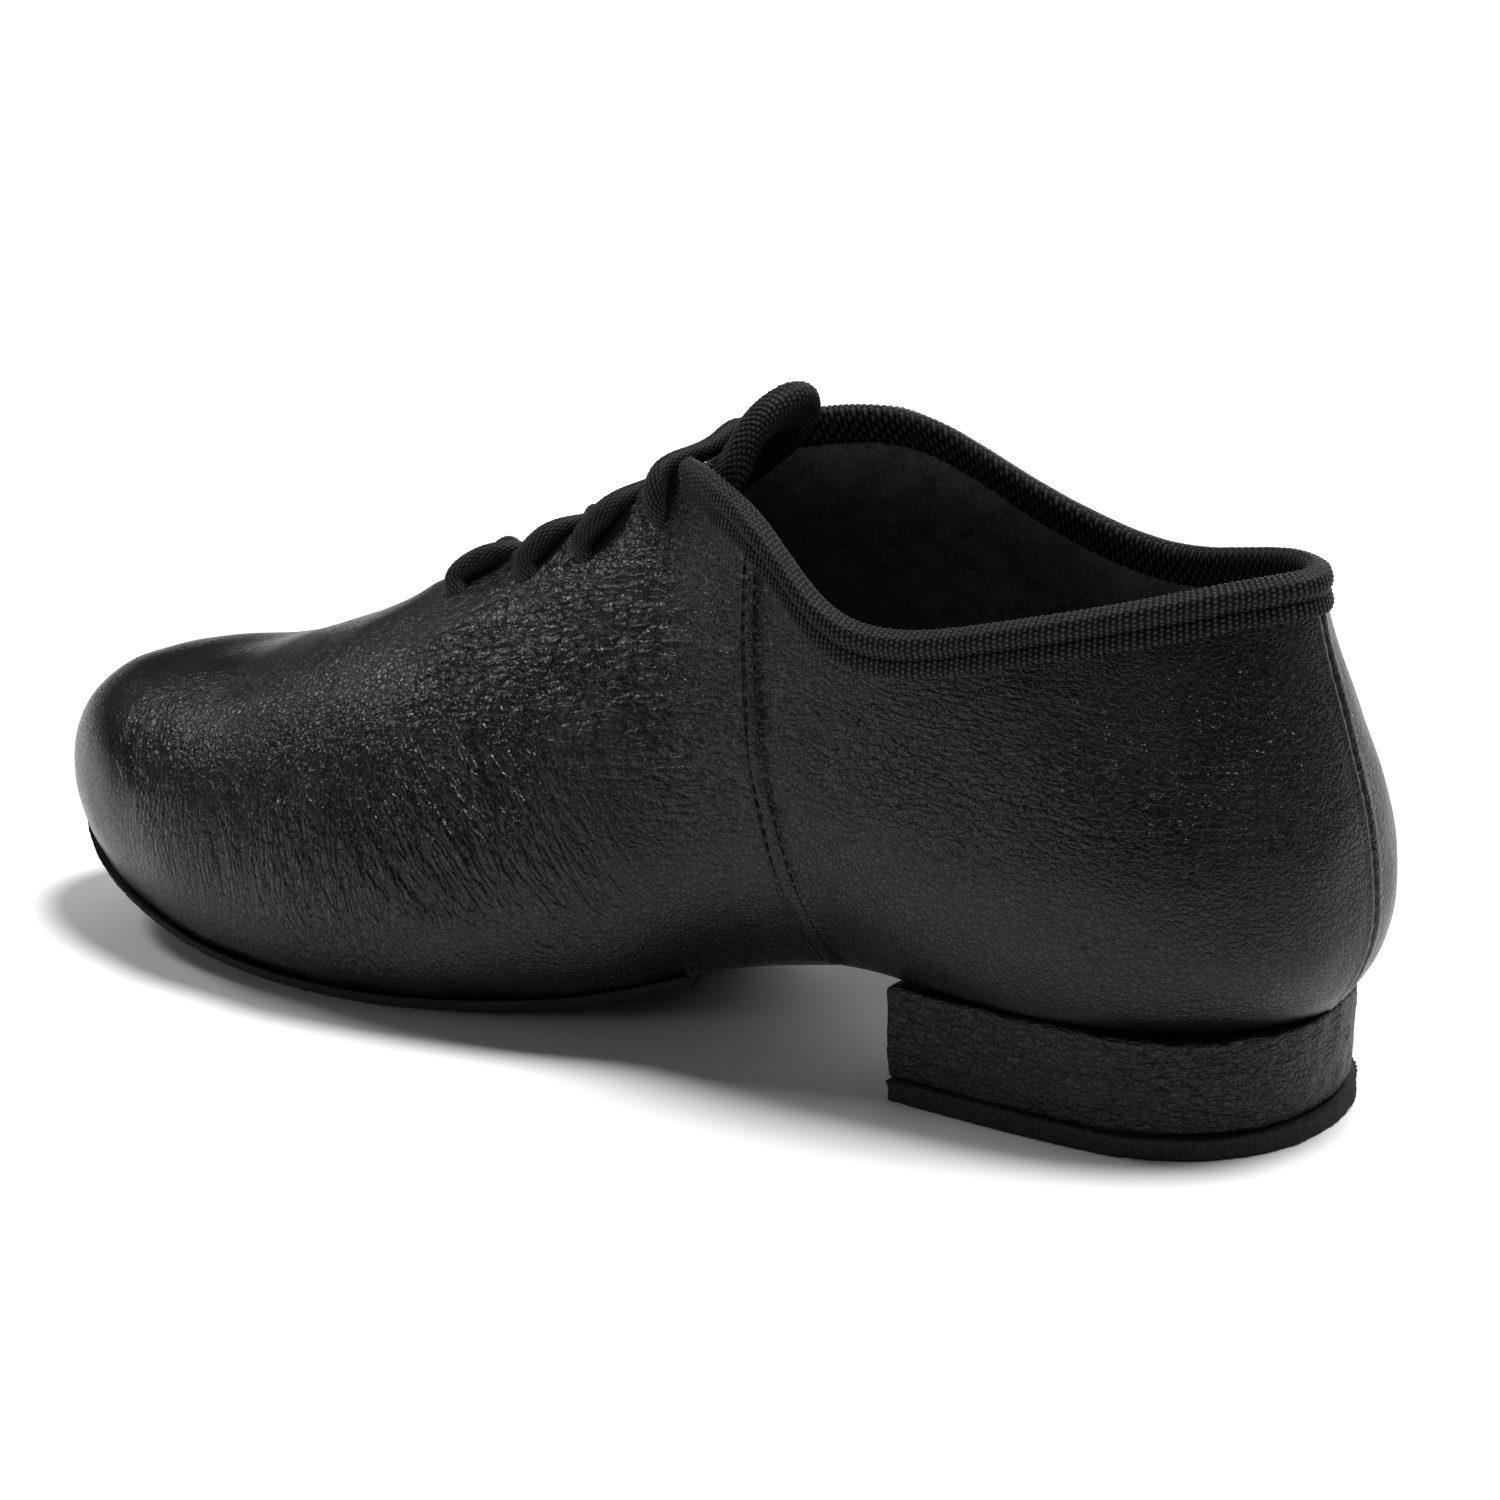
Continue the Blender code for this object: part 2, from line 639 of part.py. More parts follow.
def heel_outline(length, widest, breast, steps=12):
    """D outline round the origin: slightly curved sides from the breast, then half an ellipse."""
    front, back = length / 2, -length / 2
    turn = back + 0.42 * length
    side = []
    for k in range(steps + 1):
        share = k / steps
        y = breast / 2 + (widest - breast) / 2 * math.sin(share * math.pi / 2)
        side.append((front + (turn - front) * share, y))
    for k in range(1, steps + 1):
        angle = math.pi / 2 * k / steps
        side.append((turn - (turn - back) * math.sin(angle), widest / 2 * max(math.cos(angle), 0.0) ** 0.9))
    return np.array(side + [(x, -y) for x, y in side[-2::-1]])


def loft_loops(name, loops, parts, material):
    """Closed solid through loops with the same number of points."""
    points = np.vstack(loops)
    count = len(loops[0])
    faces = [list(range(count))]
    for level in range(len(loops) - 1):
        for k in range(count):
            a, b = level * count + k, level * count + (k + 1) % count
            faces.append([a, b, b + count, a + count])
    faces.append(list(range((len(loops) - 1) * count, len(loops) * count)))
    item = mesh_object(name, points, faces, parts, material)
    outward_faces(item)
    return item


def heel_levels(levels):
    """Loops of the heel's outline from (height, inset, shift) rows."""
    loops = []
    for height, inset, shift in levels:
        flat = heel_outline(HEEL_LENGTH - 2 * inset, HEEL_WIDTH - 2 * inset, BREAST_WIDTH - 2 * inset)
        loops.append(np.column_stack([flat[:, 0] + shift, flat[:, 1], np.full(len(flat), height)]))
    return loops


def make_heel(parts, leather, rubber):
    top = SEAT_HEIGHT - UNDER_DROP - GAP
    low = LIFT_THICKNESS + GAP
    taper = HEEL_TAPER / 2
    block = loft_loops("heel_block", heel_levels([
        (low, taper + HEEL_ROUND, taper),
        (low + HEEL_ROUND, taper, taper),
        (top - HEEL_ROUND, 0.0, 0.0),
        (top, HEEL_ROUND, 0.0),
    ]), parts, leather)
    lift = loft_loops("heel_top_lift", heel_levels([
        (0.0, taper - LIFT_EDGE, taper - LIFT_EDGE),
        (LIFT_THICKNESS, taper - LIFT_EDGE, taper - LIFT_EDGE),
    ]), parts, rubber)
    return block, lift


def tongue_sections(skin):
    """Lines across the tongue's top face, from under the vamp to its free end."""
    first = skin.index(ROWS.index("throat end") + 0.5)
    corner = skin.index(ROWS.index("collar front"))
    lines = []
    for n, rib in enumerate(range(first, corner - 1, -1)):
        progress = n / (first - corner)
        lift = -(WALL + GAP) - progress * TONGUE_DROP
        lap = TONGUE_LAP * (1 - 0.45 * progress ** 2)
        downs = np.linspace(lap, 0, 5)
        inner = [skin.at(rib, down, lift) for down in downs]
        outer = [skin.at(-rib, down, lift) for down in downs]
        line = np.array(inner + outer[::-1])
        arc = chord_lengths(line)
        where = np.linspace(0, arc[-1], 13)
        line = np.stack([np.interp(where, arc, line[:, axis]) for axis in range(3)], axis=1)
        lines.append(rounded(line, int(round(5 * progress))))
    return lines + free_end(lines)


def rounded(line, passes):
    """Soften the line's bends and keep its ends."""
    for _ in range(passes):
        line = np.vstack([line[:1], (line[:-2] + 2 * line[1:-1] + line[2:]) / 4, line[-1:]])
    return line


def free_end(lines):
    """The tongue above the facings: it goes on along the instep, rises, and ends in a round top."""
    last = lines[-1]
    across = np.linspace(-1, 1, len(last))
    heading = unit(last.mean(0) - lines[-3].mean(0))
    upright = unit(heading + np.array([0.0, 0.0, 0.35]))
    made = []
    crown = (1 - across ** 2)[:, None] * np.array([0.0, 0.0, TONGUE_CROWN])
    for step in (1, 2, 3, 4):
        share = step / 4
        reach = TONGUE_RISE * share * np.sqrt(1 - 0.5 * across ** 2)[:, None]
        turned = unit(heading * (1 - share / 2) + upright * share / 2)
        made.append(last + reach * turned + crown * share)
    return made


def sheet_solid(name, lines, thickness, parts, material):
    """A sheet through lines of points, given a wall below its upper face."""
    count = len(lines[0])
    points = np.vstack(lines)
    numbered = [[row * count + k for k in range(count)] for row in range(len(lines))]
    item = mesh_object(name, points, strips(numbered), parts, material)
    outward_faces(item)
    if np.mean([face.normal.z for face in item.data.polygons]) < 0:
        item.data.flip_normals()
    wall = item.modifiers.new("wall", "SOLIDIFY")
    wall.thickness = thickness
    wall.offset = -1.0
    wall.use_even_offset = True
    return item


def tape_profile(height, wall, clear):
    """Section of a folded tape as (down, lift) points: down from the edge, lift off the outer face."""
    out = clear
    deep = -wall - clear
    roll = TAPE_THICKNESS + TAPE_ROLL
    low = height * 0.52
    ease = TAPE_ROLL / 2
    return [
        (height, out), (height, out + TAPE_THICKNESS), (low + ease, out + TAPE_THICKNESS),
        (low, out + TAPE_THICKNESS * 0.7), (low - ease, out + roll * 0.8), (low * 0.45, out + roll),
        (-1.5 * ease, out + roll * 0.85), (-clear - roll * 0.85, out - ease / 2), (-clear - roll, -wall / 2),
        (-clear - roll * 0.85, deep + ease / 2), (-1.5 * ease, deep - TAPE_THICKNESS),
        (height * 0.86, deep - TAPE_THICKNESS), (height * 0.86, deep), (-clear, deep), (-clear, out),
    ]


def tape_solid(name, stations, profile, parts, material):
    """Sweep the folded section along stations, each a function of (down, lift)."""
    loops = [np.array([place(down, lift) for down, lift in profile]) for place in stations]
    return loft_loops(name, loops, parts, material)


def make_collar_binding(skin, parts, tape):
    corner = skin.index(ROWS.index("collar front"))

    seams = [skin.index(ROWS.index("side seam"), outer) for outer in (False, True)]

    def station(i):
        raised = SEAM_RAISE if i % skin.count in seams else 0.0
        return lambda down, lift: skin.at(i, down, lift + (raised if lift > 0 else 0.0))

    stations = [station(i) for i in range(corner, -corner - 1, -1)]
    profile = tape_profile(COLLAR_TAPE_HEIGHT, WALL, TAPE_GAP)
    return tape_solid("collar_binding", stations, profile, parts, tape)


def make_tongue(skin, parts, leather, tape):
    lines = tongue_sections(skin)
    tongue = sheet_solid("tongue", lines, TONGUE_THICKNESS, parts, leather)
    columns = np.array(lines[::-1])
    normals = unit(np.cross(np.gradient(columns, axis=0), np.gradient(columns, axis=1)))
    if normals[..., 2].mean() < 0:
        normals = -normals

    def station(k):
        arc = chord_lengths(columns[:, k])

        def place(down, lift):
            point = [np.interp(down, arc, columns[:, k, axis]) for axis in range(3)]
            normal = unit(np.array([np.interp(down, arc, normals[:, k, axis]) for axis in range(3)]))
            beyond = unit(columns[0, k] - columns[1, k]) * max(-down, 0.0)
            return np.array(point) + beyond + normal * lift

        return place

    profile = tape_profile(TONGUE_TAPE_HEIGHT, TONGUE_THICKNESS, 2 * TAPE_GAP)
    stations = [station(k) for k in range(1, columns.shape[1] - 1)]
    binding = tape_solid("tongue_binding", stations, profile, parts, tape)
    return tongue, binding


def lace_runs(skin):
    """Middle line of each visible run of the lace: three crossings and the bar at the top."""
    clear = LACE_DIAMETER / 2 + 2 * GAP
    keys = [ROWS.index(row) + share for row, share in LACE_HOLES]
    pairs = [(n, outer, n + 1) for n in range(3) for outer in (False, True)] + [(3, False, 3)]
    runs = []
    for start, outer, end in pairs:
        step = (keys[end] - keys[start]) / 3
        first, second = skin.index(keys[start], outer), skin.index(keys[start] + step, outer)
        third, fourth = skin.index(keys[end] - step, not outer), skin.index(keys[end], not outer)
        points = [skin.at(first, HOLE_SETBACK, clear), skin.at(second, 0.0, clear + GAP)]
        far = [skin.at(third, 0.0, clear + GAP), skin.at(fourth, HOLE_SETBACK, clear)]
        middle = (points[-1] + far[0]) / 2 + np.array([0.0, 0.0, LACE_RISE])
        runs.append(points + [middle] + far)
    return runs


def make_lace(skin, parts, cord):
    pieces = []
    for n, run in enumerate(lace_runs(skin)):
        curve = bpy.data.curves.new(f"lace_run_{n + 1}", "CURVE")
        curve.dimensions = "3D"
        curve.bevel_depth = LACE_DIAMETER / 2
        curve.bevel_resolution = 1
        curve.resolution_u = 2
        curve.use_fill_caps = True
        spline_ = curve.splines.new("BEZIER")
        spline_.bezier_points.add(len(run) - 1)
        for knot, point in zip(spline_.bezier_points, run):
            knot.co = tuple(point)
            knot.handle_left_type = knot.handle_right_type = "AUTO"
        item = bpy.data.objects.new(f"lace_run_{n + 1}", curve)
        parts.objects.link(item)
        pieces.append(item)
    bpy.context.view_layer.update()
    graph = bpy.context.evaluated_depsgraph_get()
    lace = None
    for n, piece in enumerate(pieces):
        mesh = bpy.data.meshes.new_from_object(piece.evaluated_get(graph))
        solid = bpy.data.objects.new("lace" if n == 0 else f"lace_join_{n}", mesh)
        if n == 0:
            lace = solid
            parts.objects.link(solid)
            mesh.materials.append(cord)
        else:
            bpy.data.collections["cutters"].objects.link(solid)
            solid.hide_render = True
            solid.display_type = "WIRE"
            join = lace.modifiers.new("join", "BOOLEAN")
            join.operation = "UNION"
            join.solver = "EXACT"
            join.object = solid
        bpy.data.objects.remove(piece, do_unlink=True)
    return lace


def main():
    clear_scene()
    parts = make_collection("jazz_shoe")
    cutters = make_collection("cutters")
    leather = principled("black leather", BLACK_LEATHER, 0.42)
    tongue_leather = principled("black tongue leather", BLACK_LEATHER, 0.45)
    heel_leather = principled("black heel leather", BLACK_LEATHER, 0.5)
    sole_leather = principled("black sole leather", BLACK_RUBBER, 0.8)
    board = principled("black insole", BLACK_RUBBER, 0.85)
    rubber = principled("black rubber", BLACK_RUBBER, 0.85)
    tape = principled("black ribbed tape", BLACK_TAPE, 0.7)
    tongue_tape = principled("black tongue tape", BLACK_TAPE, 0.7)
    cord = principled("black cord", BLACK_CORD, 0.75)
    skin = Skin()
    make_upper(skin, parts, cutters, leather)
    make_insole(skin, parts, board)
    make_outsole(skin, parts, sole_leather)
    make_heel(parts, heel_leather, rubber)
    make_tongue(skin, parts, tongue_leather, tongue_tape)
    make_collar_binding(skin, parts, tape)
    make_lace(skin, parts, cord)


main()
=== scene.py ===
"""Looks of the split-sole jazz shoe for the right foot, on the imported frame.

The shoe's skin comes from the same tables as its solids, traced finely, and every leather surface, tape,
cord and stitch lies on it. Metres, Z up, toe along +X, inner side of the foot along +Y, floor at Z = 0.
"""

import math

import bmesh
import bpy
import numpy as np
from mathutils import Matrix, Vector


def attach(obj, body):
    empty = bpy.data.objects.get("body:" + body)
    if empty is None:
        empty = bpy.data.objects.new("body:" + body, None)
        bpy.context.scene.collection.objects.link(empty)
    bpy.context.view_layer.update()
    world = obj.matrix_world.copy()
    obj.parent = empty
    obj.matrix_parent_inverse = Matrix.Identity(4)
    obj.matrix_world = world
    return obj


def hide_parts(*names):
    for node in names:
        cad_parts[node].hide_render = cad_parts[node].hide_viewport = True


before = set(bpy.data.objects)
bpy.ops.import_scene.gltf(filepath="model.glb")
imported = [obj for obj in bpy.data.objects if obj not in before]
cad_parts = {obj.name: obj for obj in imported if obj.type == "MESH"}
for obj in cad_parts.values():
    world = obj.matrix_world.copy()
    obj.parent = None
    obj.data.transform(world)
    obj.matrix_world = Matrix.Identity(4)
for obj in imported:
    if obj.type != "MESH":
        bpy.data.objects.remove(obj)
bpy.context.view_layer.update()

# Sizes shared with the solids
SHOE_LENGTH = 0.2700
BALL_WIDTH = 0.0940
SEAT_HEIGHT = 0.0225
CORNER_HEIGHT = 0.1050
HEEL_CENTRE = 0.0360
WALL = 0.0015
ROUND_IN = 0.0050
MARGIN = 0.0100
UNDER_DROP = 0.0002
HOLE_SETBACK = 0.0062
GAP = 0.0003
SOLE_THICKNESS = 0.0024
SOLE_EDGE = 0.0009
SOLE_UNDERCUT = 0.0012
HEEL_LENGTH = 0.0730
HEEL_WIDTH = 0.0672
BREAST_WIDTH = 0.0610
HEEL_TAPER = 0.0008
LIFT_THICKNESS = 0.0040
LIFT_EDGE = 0.0007
INSOLE_THICKNESS = 0.0020
INSOLE_INSET = 0.0034
TONGUE_THICKNESS = 0.0018
TONGUE_RISE = 0.0145
TONGUE_LAP = 0.0110
TONGUE_DROP = 0.0018
TONGUE_CROWN = 0.0015
TAPE_THICKNESS = 0.0008
TAPE_ROLL = 0.0008
TAPE_GAP = 0.0004
COLLAR_TAPE_HEIGHT = 0.0062
TONGUE_TAPE_HEIGHT = 0.0065
LACE_DIAMETER = 0.0044
SEAM_HALF_WIDTH = 0.0023
SEAM_SLOPE = 0.0006
SEAM_RAISE = 0.0005

# What only the scene has. Threads of the stitches, their lengths and pitches, how far the side seams' rows
# lie from the middle, and where the tape's groove lies as a share of its height
SEAM_THREAD = 0.00050
SEAM_STITCH = 0.0019
SEAM_STITCH_ROW = 0.0017
SEAM_STITCH_PITCH = 0.0026
BACK_STITCH = 0.0016
BACK_STITCH_PITCH = 0.0034
TAPE_THREAD = 0.00045
TAPE_STITCH = 0.0024
TAPE_STITCH_PITCH = 0.0030
GROOVE = 0.50

# Relief across the seams and holes: half width, distance from the middle, height or depth
SEAM_CORD = (0.0008, 0.0, 0.00022)
SEAM_ROW = (0.00035, SEAM_STITCH_ROW, 0.00030)
SEAM_PUCKER = (0.0012, 0.0036, 0.00007)
BACK_VALLEY = (0.0006, 0.0, 0.00055)
BACK_SHOULDER = (0.0009, 0.0016, 0.00022)
BACK_LAP = 0.00025
HOLE_LIP = (0.0008, 0.0032, 0.00018)
HOLE_WALL = (0.0015, 0.0026)
HOLE_DEPTH = 0.0022

# Leather: soft waves of the whole upper as seed, size and height; the fade of its wrinkles above the feather
# line; the ridge rounded over the toes; and the seam and gathers under the waist
UPPER_WAVES = [(5, 0.030, 0.00018), (6, 0.012, 0.00005)]
RELIEF_FADE = (0.0005, 0.0070)
RIDGE_REACH = 0.012
RIDGE_ROUNDS = 160
WAIST_LIFT = 0.0002
WAIST_SEAM = 0.0006
WAIST_GATHER = 0.0004

# Ribs of the tape, the beads that its weave breaks them into, and the tongue tape's end behind the collar
RIB_PITCH = 0.00112
RIB_STEPS = 6
RIB_RAISE = 0.00036
RIB_SINK = 0.00012
BEAD = 0.00090
TONGUE_TAPE_TAIL = 0.0045
TONGUE_COLUMNS = 13

# Braid of the cord: threads round it, length of one crossing, and steps of its mesh round and along
BRAID_ROUND = 16
BRAID_PITCH = 0.00150
BRAID_RAISE = 0.00030
CORD_AROUND = 56
CORD_STEP = 0.00026

# The same tables as the solids: feather line, crest, form of the ribs, collar and holes. Along is in shares
# of SHOE_LENGTH and across of BALL_WIDTH; rise is of SEAT_HEIGHT for the feather line and of CORNER_HEIGHT
# above it. Flare and lean are in degrees, and the holds in shares of the rib's chord.
FEATHER = [
    # row, ribs, i_along, i_across, i_rise, o_along, o_across, o_rise, underside
    ("back",         3, 0.0000,  0.000, 1.013, 0.0000,  0.000, 1.013, 1.000),
    ("heel round",   3, 0.0296,  0.218, 1.000, 0.0296, -0.223, 1.000, 1.000),
    ("heel side",    3, 0.1037,  0.330, 1.000, 0.1037, -0.335, 1.000, 1.000),
    ("seat",         3, 0.1852,  0.340, 1.000, 0.1852, -0.346, 1.000, 1.000),
    ("breast",       3, 0.2740,  0.298, 1.013, 0.2740, -0.335, 1.013, 1.000),
    ("side seam",    3, 0.3259,  0.250, 0.956, 0.3407, -0.351, 0.902, 0.872),
    ("collar front", 3, 0.4111,  0.239, 0.711, 0.4148, -0.394, 0.676, 0.587),
    ("facing",       3, 0.4963,  0.319, 0.400, 0.4926, -0.447, 0.409, 0.241),
    ("instep",       4, 0.5741,  0.394, 0.258, 0.5667, -0.489, 0.249, 0.052),
    ("throat end",   3, 0.6593,  0.452, 0.209, 0.6519, -0.511, 0.204, 0.000),
    ("ball",         3, 0.7407,  0.457, 0.222, 0.7370, -0.500, 0.213, 0.000),
    ("joint",        3, 0.8185,  0.426, 0.311, 0.8111, -0.447, 0.284, 0.087),
    ("big toe",      4, 0.8889,  0.362, 0.489, 0.8833, -0.372, 0.453, 0.305),
    ("toe",          4, 0.9556,  0.234, 0.711, 0.9500, -0.223, 0.684, 0.585),
    ("tip",          0, 0.9944,  0.043, 0.911, 0.9944,  0.043, 0.911, 0.827),
]
CREST = [
    # row, i_along, i_across, i_rise, o_along, o_across, o_rise
    ("back",         0.0259,  0.000, 1.0095, 0.0259,  0.000, 1.0095),
    ("heel round",   0.0556,  0.138, 1.0095, 0.0556, -0.138, 1.0095),
    ("heel side",    0.1296,  0.234, 1.0286, 0.1259, -0.255, 1.0286),
    ("seat",         0.2111,  0.277, 1.0667, 0.2037, -0.330, 1.0667),
    ("breast",       0.3074,  0.266, 1.1143, 0.3000, -0.330, 1.1143),
    ("side seam",    0.3926,  0.181, 1.1238, 0.3815, -0.255, 1.1238),
    ("collar front", 0.4778,  0.085, 1.0000, 0.4630, -0.128, 1.0381),
    ("facing",       0.5370,  0.074, 0.8905, 0.5296, -0.096, 0.9095),
    ("instep",       0.6074,  0.053, 0.7952, 0.6037, -0.064, 0.8000),
    ("throat end",   0.6963,  0.000, 0.6952, 0.6963,  0.000, 0.6952),
    ("ball",         0.7630,  0.000, 0.6095, 0.7630,  0.000, 0.6095),
    ("joint",        0.8222,  0.000, 0.5448, 0.8222,  0.000, 0.5448),
    ("big toe",      0.8667,  0.000, 0.5124, 0.8667,  0.000, 0.5124),
    ("toe",          0.9037,  0.011, 0.4948, 0.9037,  0.011, 0.4948),
    ("tip",          0.9259,  0.021, 0.4790, 0.9259,  0.021, 0.4790),
]
RIB_FORM = [
    # row, i_flare, o_flare, foot_hold, lean, crest_hold
    ("back",         42, 42, 0.36,  4, 0.30),
    ("heel round",   40, 48, 0.36,  4, 0.30),
    ("heel side",    31, 41, 0.36,  6, 0.30),
    ("seat",         29, 33, 0.36,  6, 0.30),
    ("breast",       34, 32, 0.36,  8, 0.30),
    ("side seam",    43, 32, 0.38, 14, 0.30),
    ("collar front", 50, 32, 0.40, 38, 0.34),
    ("facing",       46, 32, 0.40, 52, 0.36),
    ("instep",       40, 34, 0.40, 66, 0.38),
    ("throat end",   34, 34, 0.40, 84, 0.42),
    ("ball",         30, 32, 0.42, 90, 0.46),
    ("joint",        28, 30, 0.44, 90, 0.48),
    ("big toe",      24, 28, 0.46, 90, 0.50),
    ("toe",          25, 25, 0.48, 85, 0.52),
    ("tip",          25, 25, 0.50, 79, 0.50),
]
COLLAR = [
    # row, i_rise, o_rise
    ("back",         0.948, 0.948),
    ("heel round",   0.943, 0.938),
    ("heel side",    0.900, 0.890),
    ("seat",         0.850, 0.862),
    ("breast",       0.832, 0.938),
    ("side seam",    0.957, 1.050),
    ("collar front", 1.000, 1.038),
]
LACE_HOLES = [("throat end", -0.25), ("instep", 0.0), ("facing", 0.3333), ("collar front", 0.3333)]
ROWS = [record[0] for record in FEATHER]
SOLID_KEYS = [row + step / record[1] for row, record in enumerate(FEATHER[:-1]) for step in range(record[1])]

# The fine skin: ribs for each of the solids' own, ribs beside a seam and the share of a row between them,
# steps up a rib, and the steps that one row of the leather's mesh takes
FINE = 8
SEAM_RIBS = 16
SEAM_KEY_STEP = 0.0125
BACK_KEY_STEP = 0.0105
TRACE_STEPS = 240
ROW_STEP = 2


def column(table, index):
    """One column of a table's numbers."""
    return np.array([record[index] for record in table], dtype=float)


def spline(at, values, where):
    """Natural cubic through values at the places at, read at where. values has one or more columns."""
    count = len(at)
    span = np.diff(at)
    slope = np.diff(values, axis=0) / span[:, None]
    system = np.zeros((count, count))
    right = np.zeros_like(values)
    system[0, 0] = system[-1, -1] = 1.0
    for i in range(1, count - 1):
        system[i, i - 1:i + 2] = (span[i - 1], 2 * (span[i - 1] + span[i]), span[i])
        right[i] = 6 * (slope[i] - slope[i - 1])
    bend = np.linalg.solve(system, right)
    k = np.clip(np.searchsorted(at, where, side="right") - 1, 0, count - 2)
    return spline_piece(values, bend, k, k + 1, (where - at[k])[:, None], span[k][:, None])


def closed_spline(at, values, total, where):
    """Cubic round a closed line of length total."""
    count = len(at)
    span = np.diff(np.append(at, at[0] + total))
    slope = (np.roll(values, -1, 0) - values) / span[:, None]
    system = np.zeros((count, count))
    for i in range(count):
        system[i, i - 1] += span[i - 1]
        system[i, i] += 2 * (span[i - 1] + span[i])
        system[i, (i + 1) % count] += span[i]
    bend = np.linalg.solve(system, 6 * (slope - np.roll(slope, 1, 0)))
    where = np.mod(where, total)
    k = np.clip(np.searchsorted(at, where, side="right") - 1, 0, count - 1)
    return spline_piece(values, bend, k, (k + 1) % count, (where - at[k])[:, None], span[k][:, None])


def spline_piece(values, bend, start, end, along, span):
    """Cubics between the knots start and end, read at the lengths along."""
    left = span - along
    curved = (bend[start] * left ** 3 + bend[end] * along ** 3) / (6 * span)
    from_start = (values[start] / span - bend[start] * span / 6) * left
    from_end = (values[end] / span - bend[end] * span / 6) * along
    return curved + from_start + from_end


def unit(vectors):
    """Vectors brought to length 1."""
    return vectors / np.maximum(np.linalg.norm(vectors, axis=-1, keepdims=True), 1e-12)


def chord_lengths(points):
    """Length along a line, or along each line of a grid, up to each of its points."""
    steps = np.linalg.norm(np.diff(points, axis=-2), axis=-1)
    return np.concatenate([np.zeros(steps.shape[:-1] + (1,)), np.cumsum(steps, axis=-1)], axis=-1)


def read_line(where, at, line):
    """The line's points at the lengths where, with straight steps between the points that lie at at."""
    return np.stack([np.interp(where, at, values) for values in line.T], axis=-1)


def smooth_step(low, high, value):
    share = np.clip((value - low) / (high - low), 0.0, 1.0)
    return share * share * (3 - 2 * share)


def bell(value, half, middle=0.0):
    """1 at the middle, falling off to about a third at half on both sides."""
    return np.exp(-((value - middle) / half) ** 2)


def rib_keys():
    """Each rib as its row plus the share of the way to the next row, FINE times as many as the solids have,
    and closer still beside the seams."""
    keys = []
    for row, record in enumerate(FEATHER[:-1]):
        steps = record[1] * FINE
        keys += [row + step / steps for step in range(steps)]
    seam = ROWS.index("side seam")
    keys += [seam + step * SEAM_KEY_STEP for step in range(-SEAM_RIBS, SEAM_RIBS + 1)]
    keys += [step * BACK_KEY_STEP for step in range(1, SEAM_RIBS)]
    return np.array(sorted({round(key, 6) for key in keys + [float(len(FEATHER) - 1)]}))


def mirror_side(values):
    """Values of one side's ribs, continued round the outline as the other side lists them."""
    return values[-2:0:-1]


def outward(points):
    """Directions square to a closed line in plan, away from its middle."""
    along = np.roll(points, -1, 0) - np.roll(points, 1, 0)
    out = unit(np.stack([along[:, 1], -along[:, 0], np.zeros(len(points))], axis=1))
    if np.sum(out * (points - points.mean(0))) < 0:
        out = -out
    return out


def feather_points(keys):
    """Feather points, flare and hold of every rib round the closed outline, inner side first."""
    last_row = len(FEATHER) - 1
    scale = np.array([SHOE_LENGTH, BALL_WIDTH, SEAT_HEIGHT])
    inner = np.stack([column(FEATHER, i) for i in (2, 3, 4)], axis=1) * scale
    outer = np.stack([column(FEATHER, i) for i in (5, 6, 7)], axis=1) * scale
    inner_form = np.stack([column(RIB_FORM, i) for i in (1, 3, 4, 5)], axis=1)
    outer_form = np.stack([column(RIB_FORM, i) for i in (2, 3, 4, 5)], axis=1)
    loop = np.vstack([inner, outer[-2:0:-1]])
    form = np.vstack([inner_form, outer_form[-2:0:-1]])
    arc = chord_lengths(np.vstack([loop, loop[:1]]))
    row_places = np.concatenate([keys, 2 * last_row - keys[-2:0:-1]])
    where = spline(np.arange(float(len(arc))), arc[:, None], row_places)[:, 0]
    points = closed_spline(arc[:-1], loop, arc[-1], where)
    return points, closed_spline(arc[:-1], form, arc[-1], where)


def crest_points(keys):
    """Crest points of both sides: one curve round the back and down both facings, and one over the toes."""
    scale = np.array([SHOE_LENGTH, BALL_WIDTH, CORNER_HEIGHT])
    throat, tip = ROWS.index("throat end"), len(ROWS) - 1
    sides = [np.stack([column(CREST, first + i) for i in range(3)], axis=1) * scale for first in (1, 4)]
    made = []
    for rows, other in (sides, sides[::-1]):
        points = np.zeros((len(keys), 3))
        runs = [(np.vstack([other[throat:0:-1], rows[:throat + 1]]), -throat, 0, throat),
                (rows[throat:tip + 1], throat, throat, tip)]
        for run, first, start, end in runs:
            arc = chord_lengths(run)
            inside = (keys >= start - 1e-9) & (keys <= end + 1e-9)
            where = spline(np.arange(float(first), first + len(run)), arc[:, None], keys[inside])[:, 0]
            points[inside] = spline(arc, run, where)
        made.append(points)
    return made


def collar_heights(keys, index):
    """Height at which the collar cuts each rib of one side; no cut in front of the collar."""
    heights = np.full(len(keys), np.inf)
    behind = keys < ROWS.index("collar front") - 1e-9
    rows = column(COLLAR, index)[:, None] * CORNER_HEIGHT
    heights[behind] = spline(np.arange(float(len(COLLAR))), rows, keys[behind])[:, 0]
    return heights


def underside_heights(keys):
    """Height of the upper's underside at every rib, inner side first."""
    low = SOLE_THICKNESS + GAP
    high = SEAT_HEIGHT - UNDER_DROP
    heights = np.interp(keys, np.arange(len(FEATHER)), low + (high - low) * column(FEATHER, 8))
    return np.concatenate([heights, mirror_side(heights)])


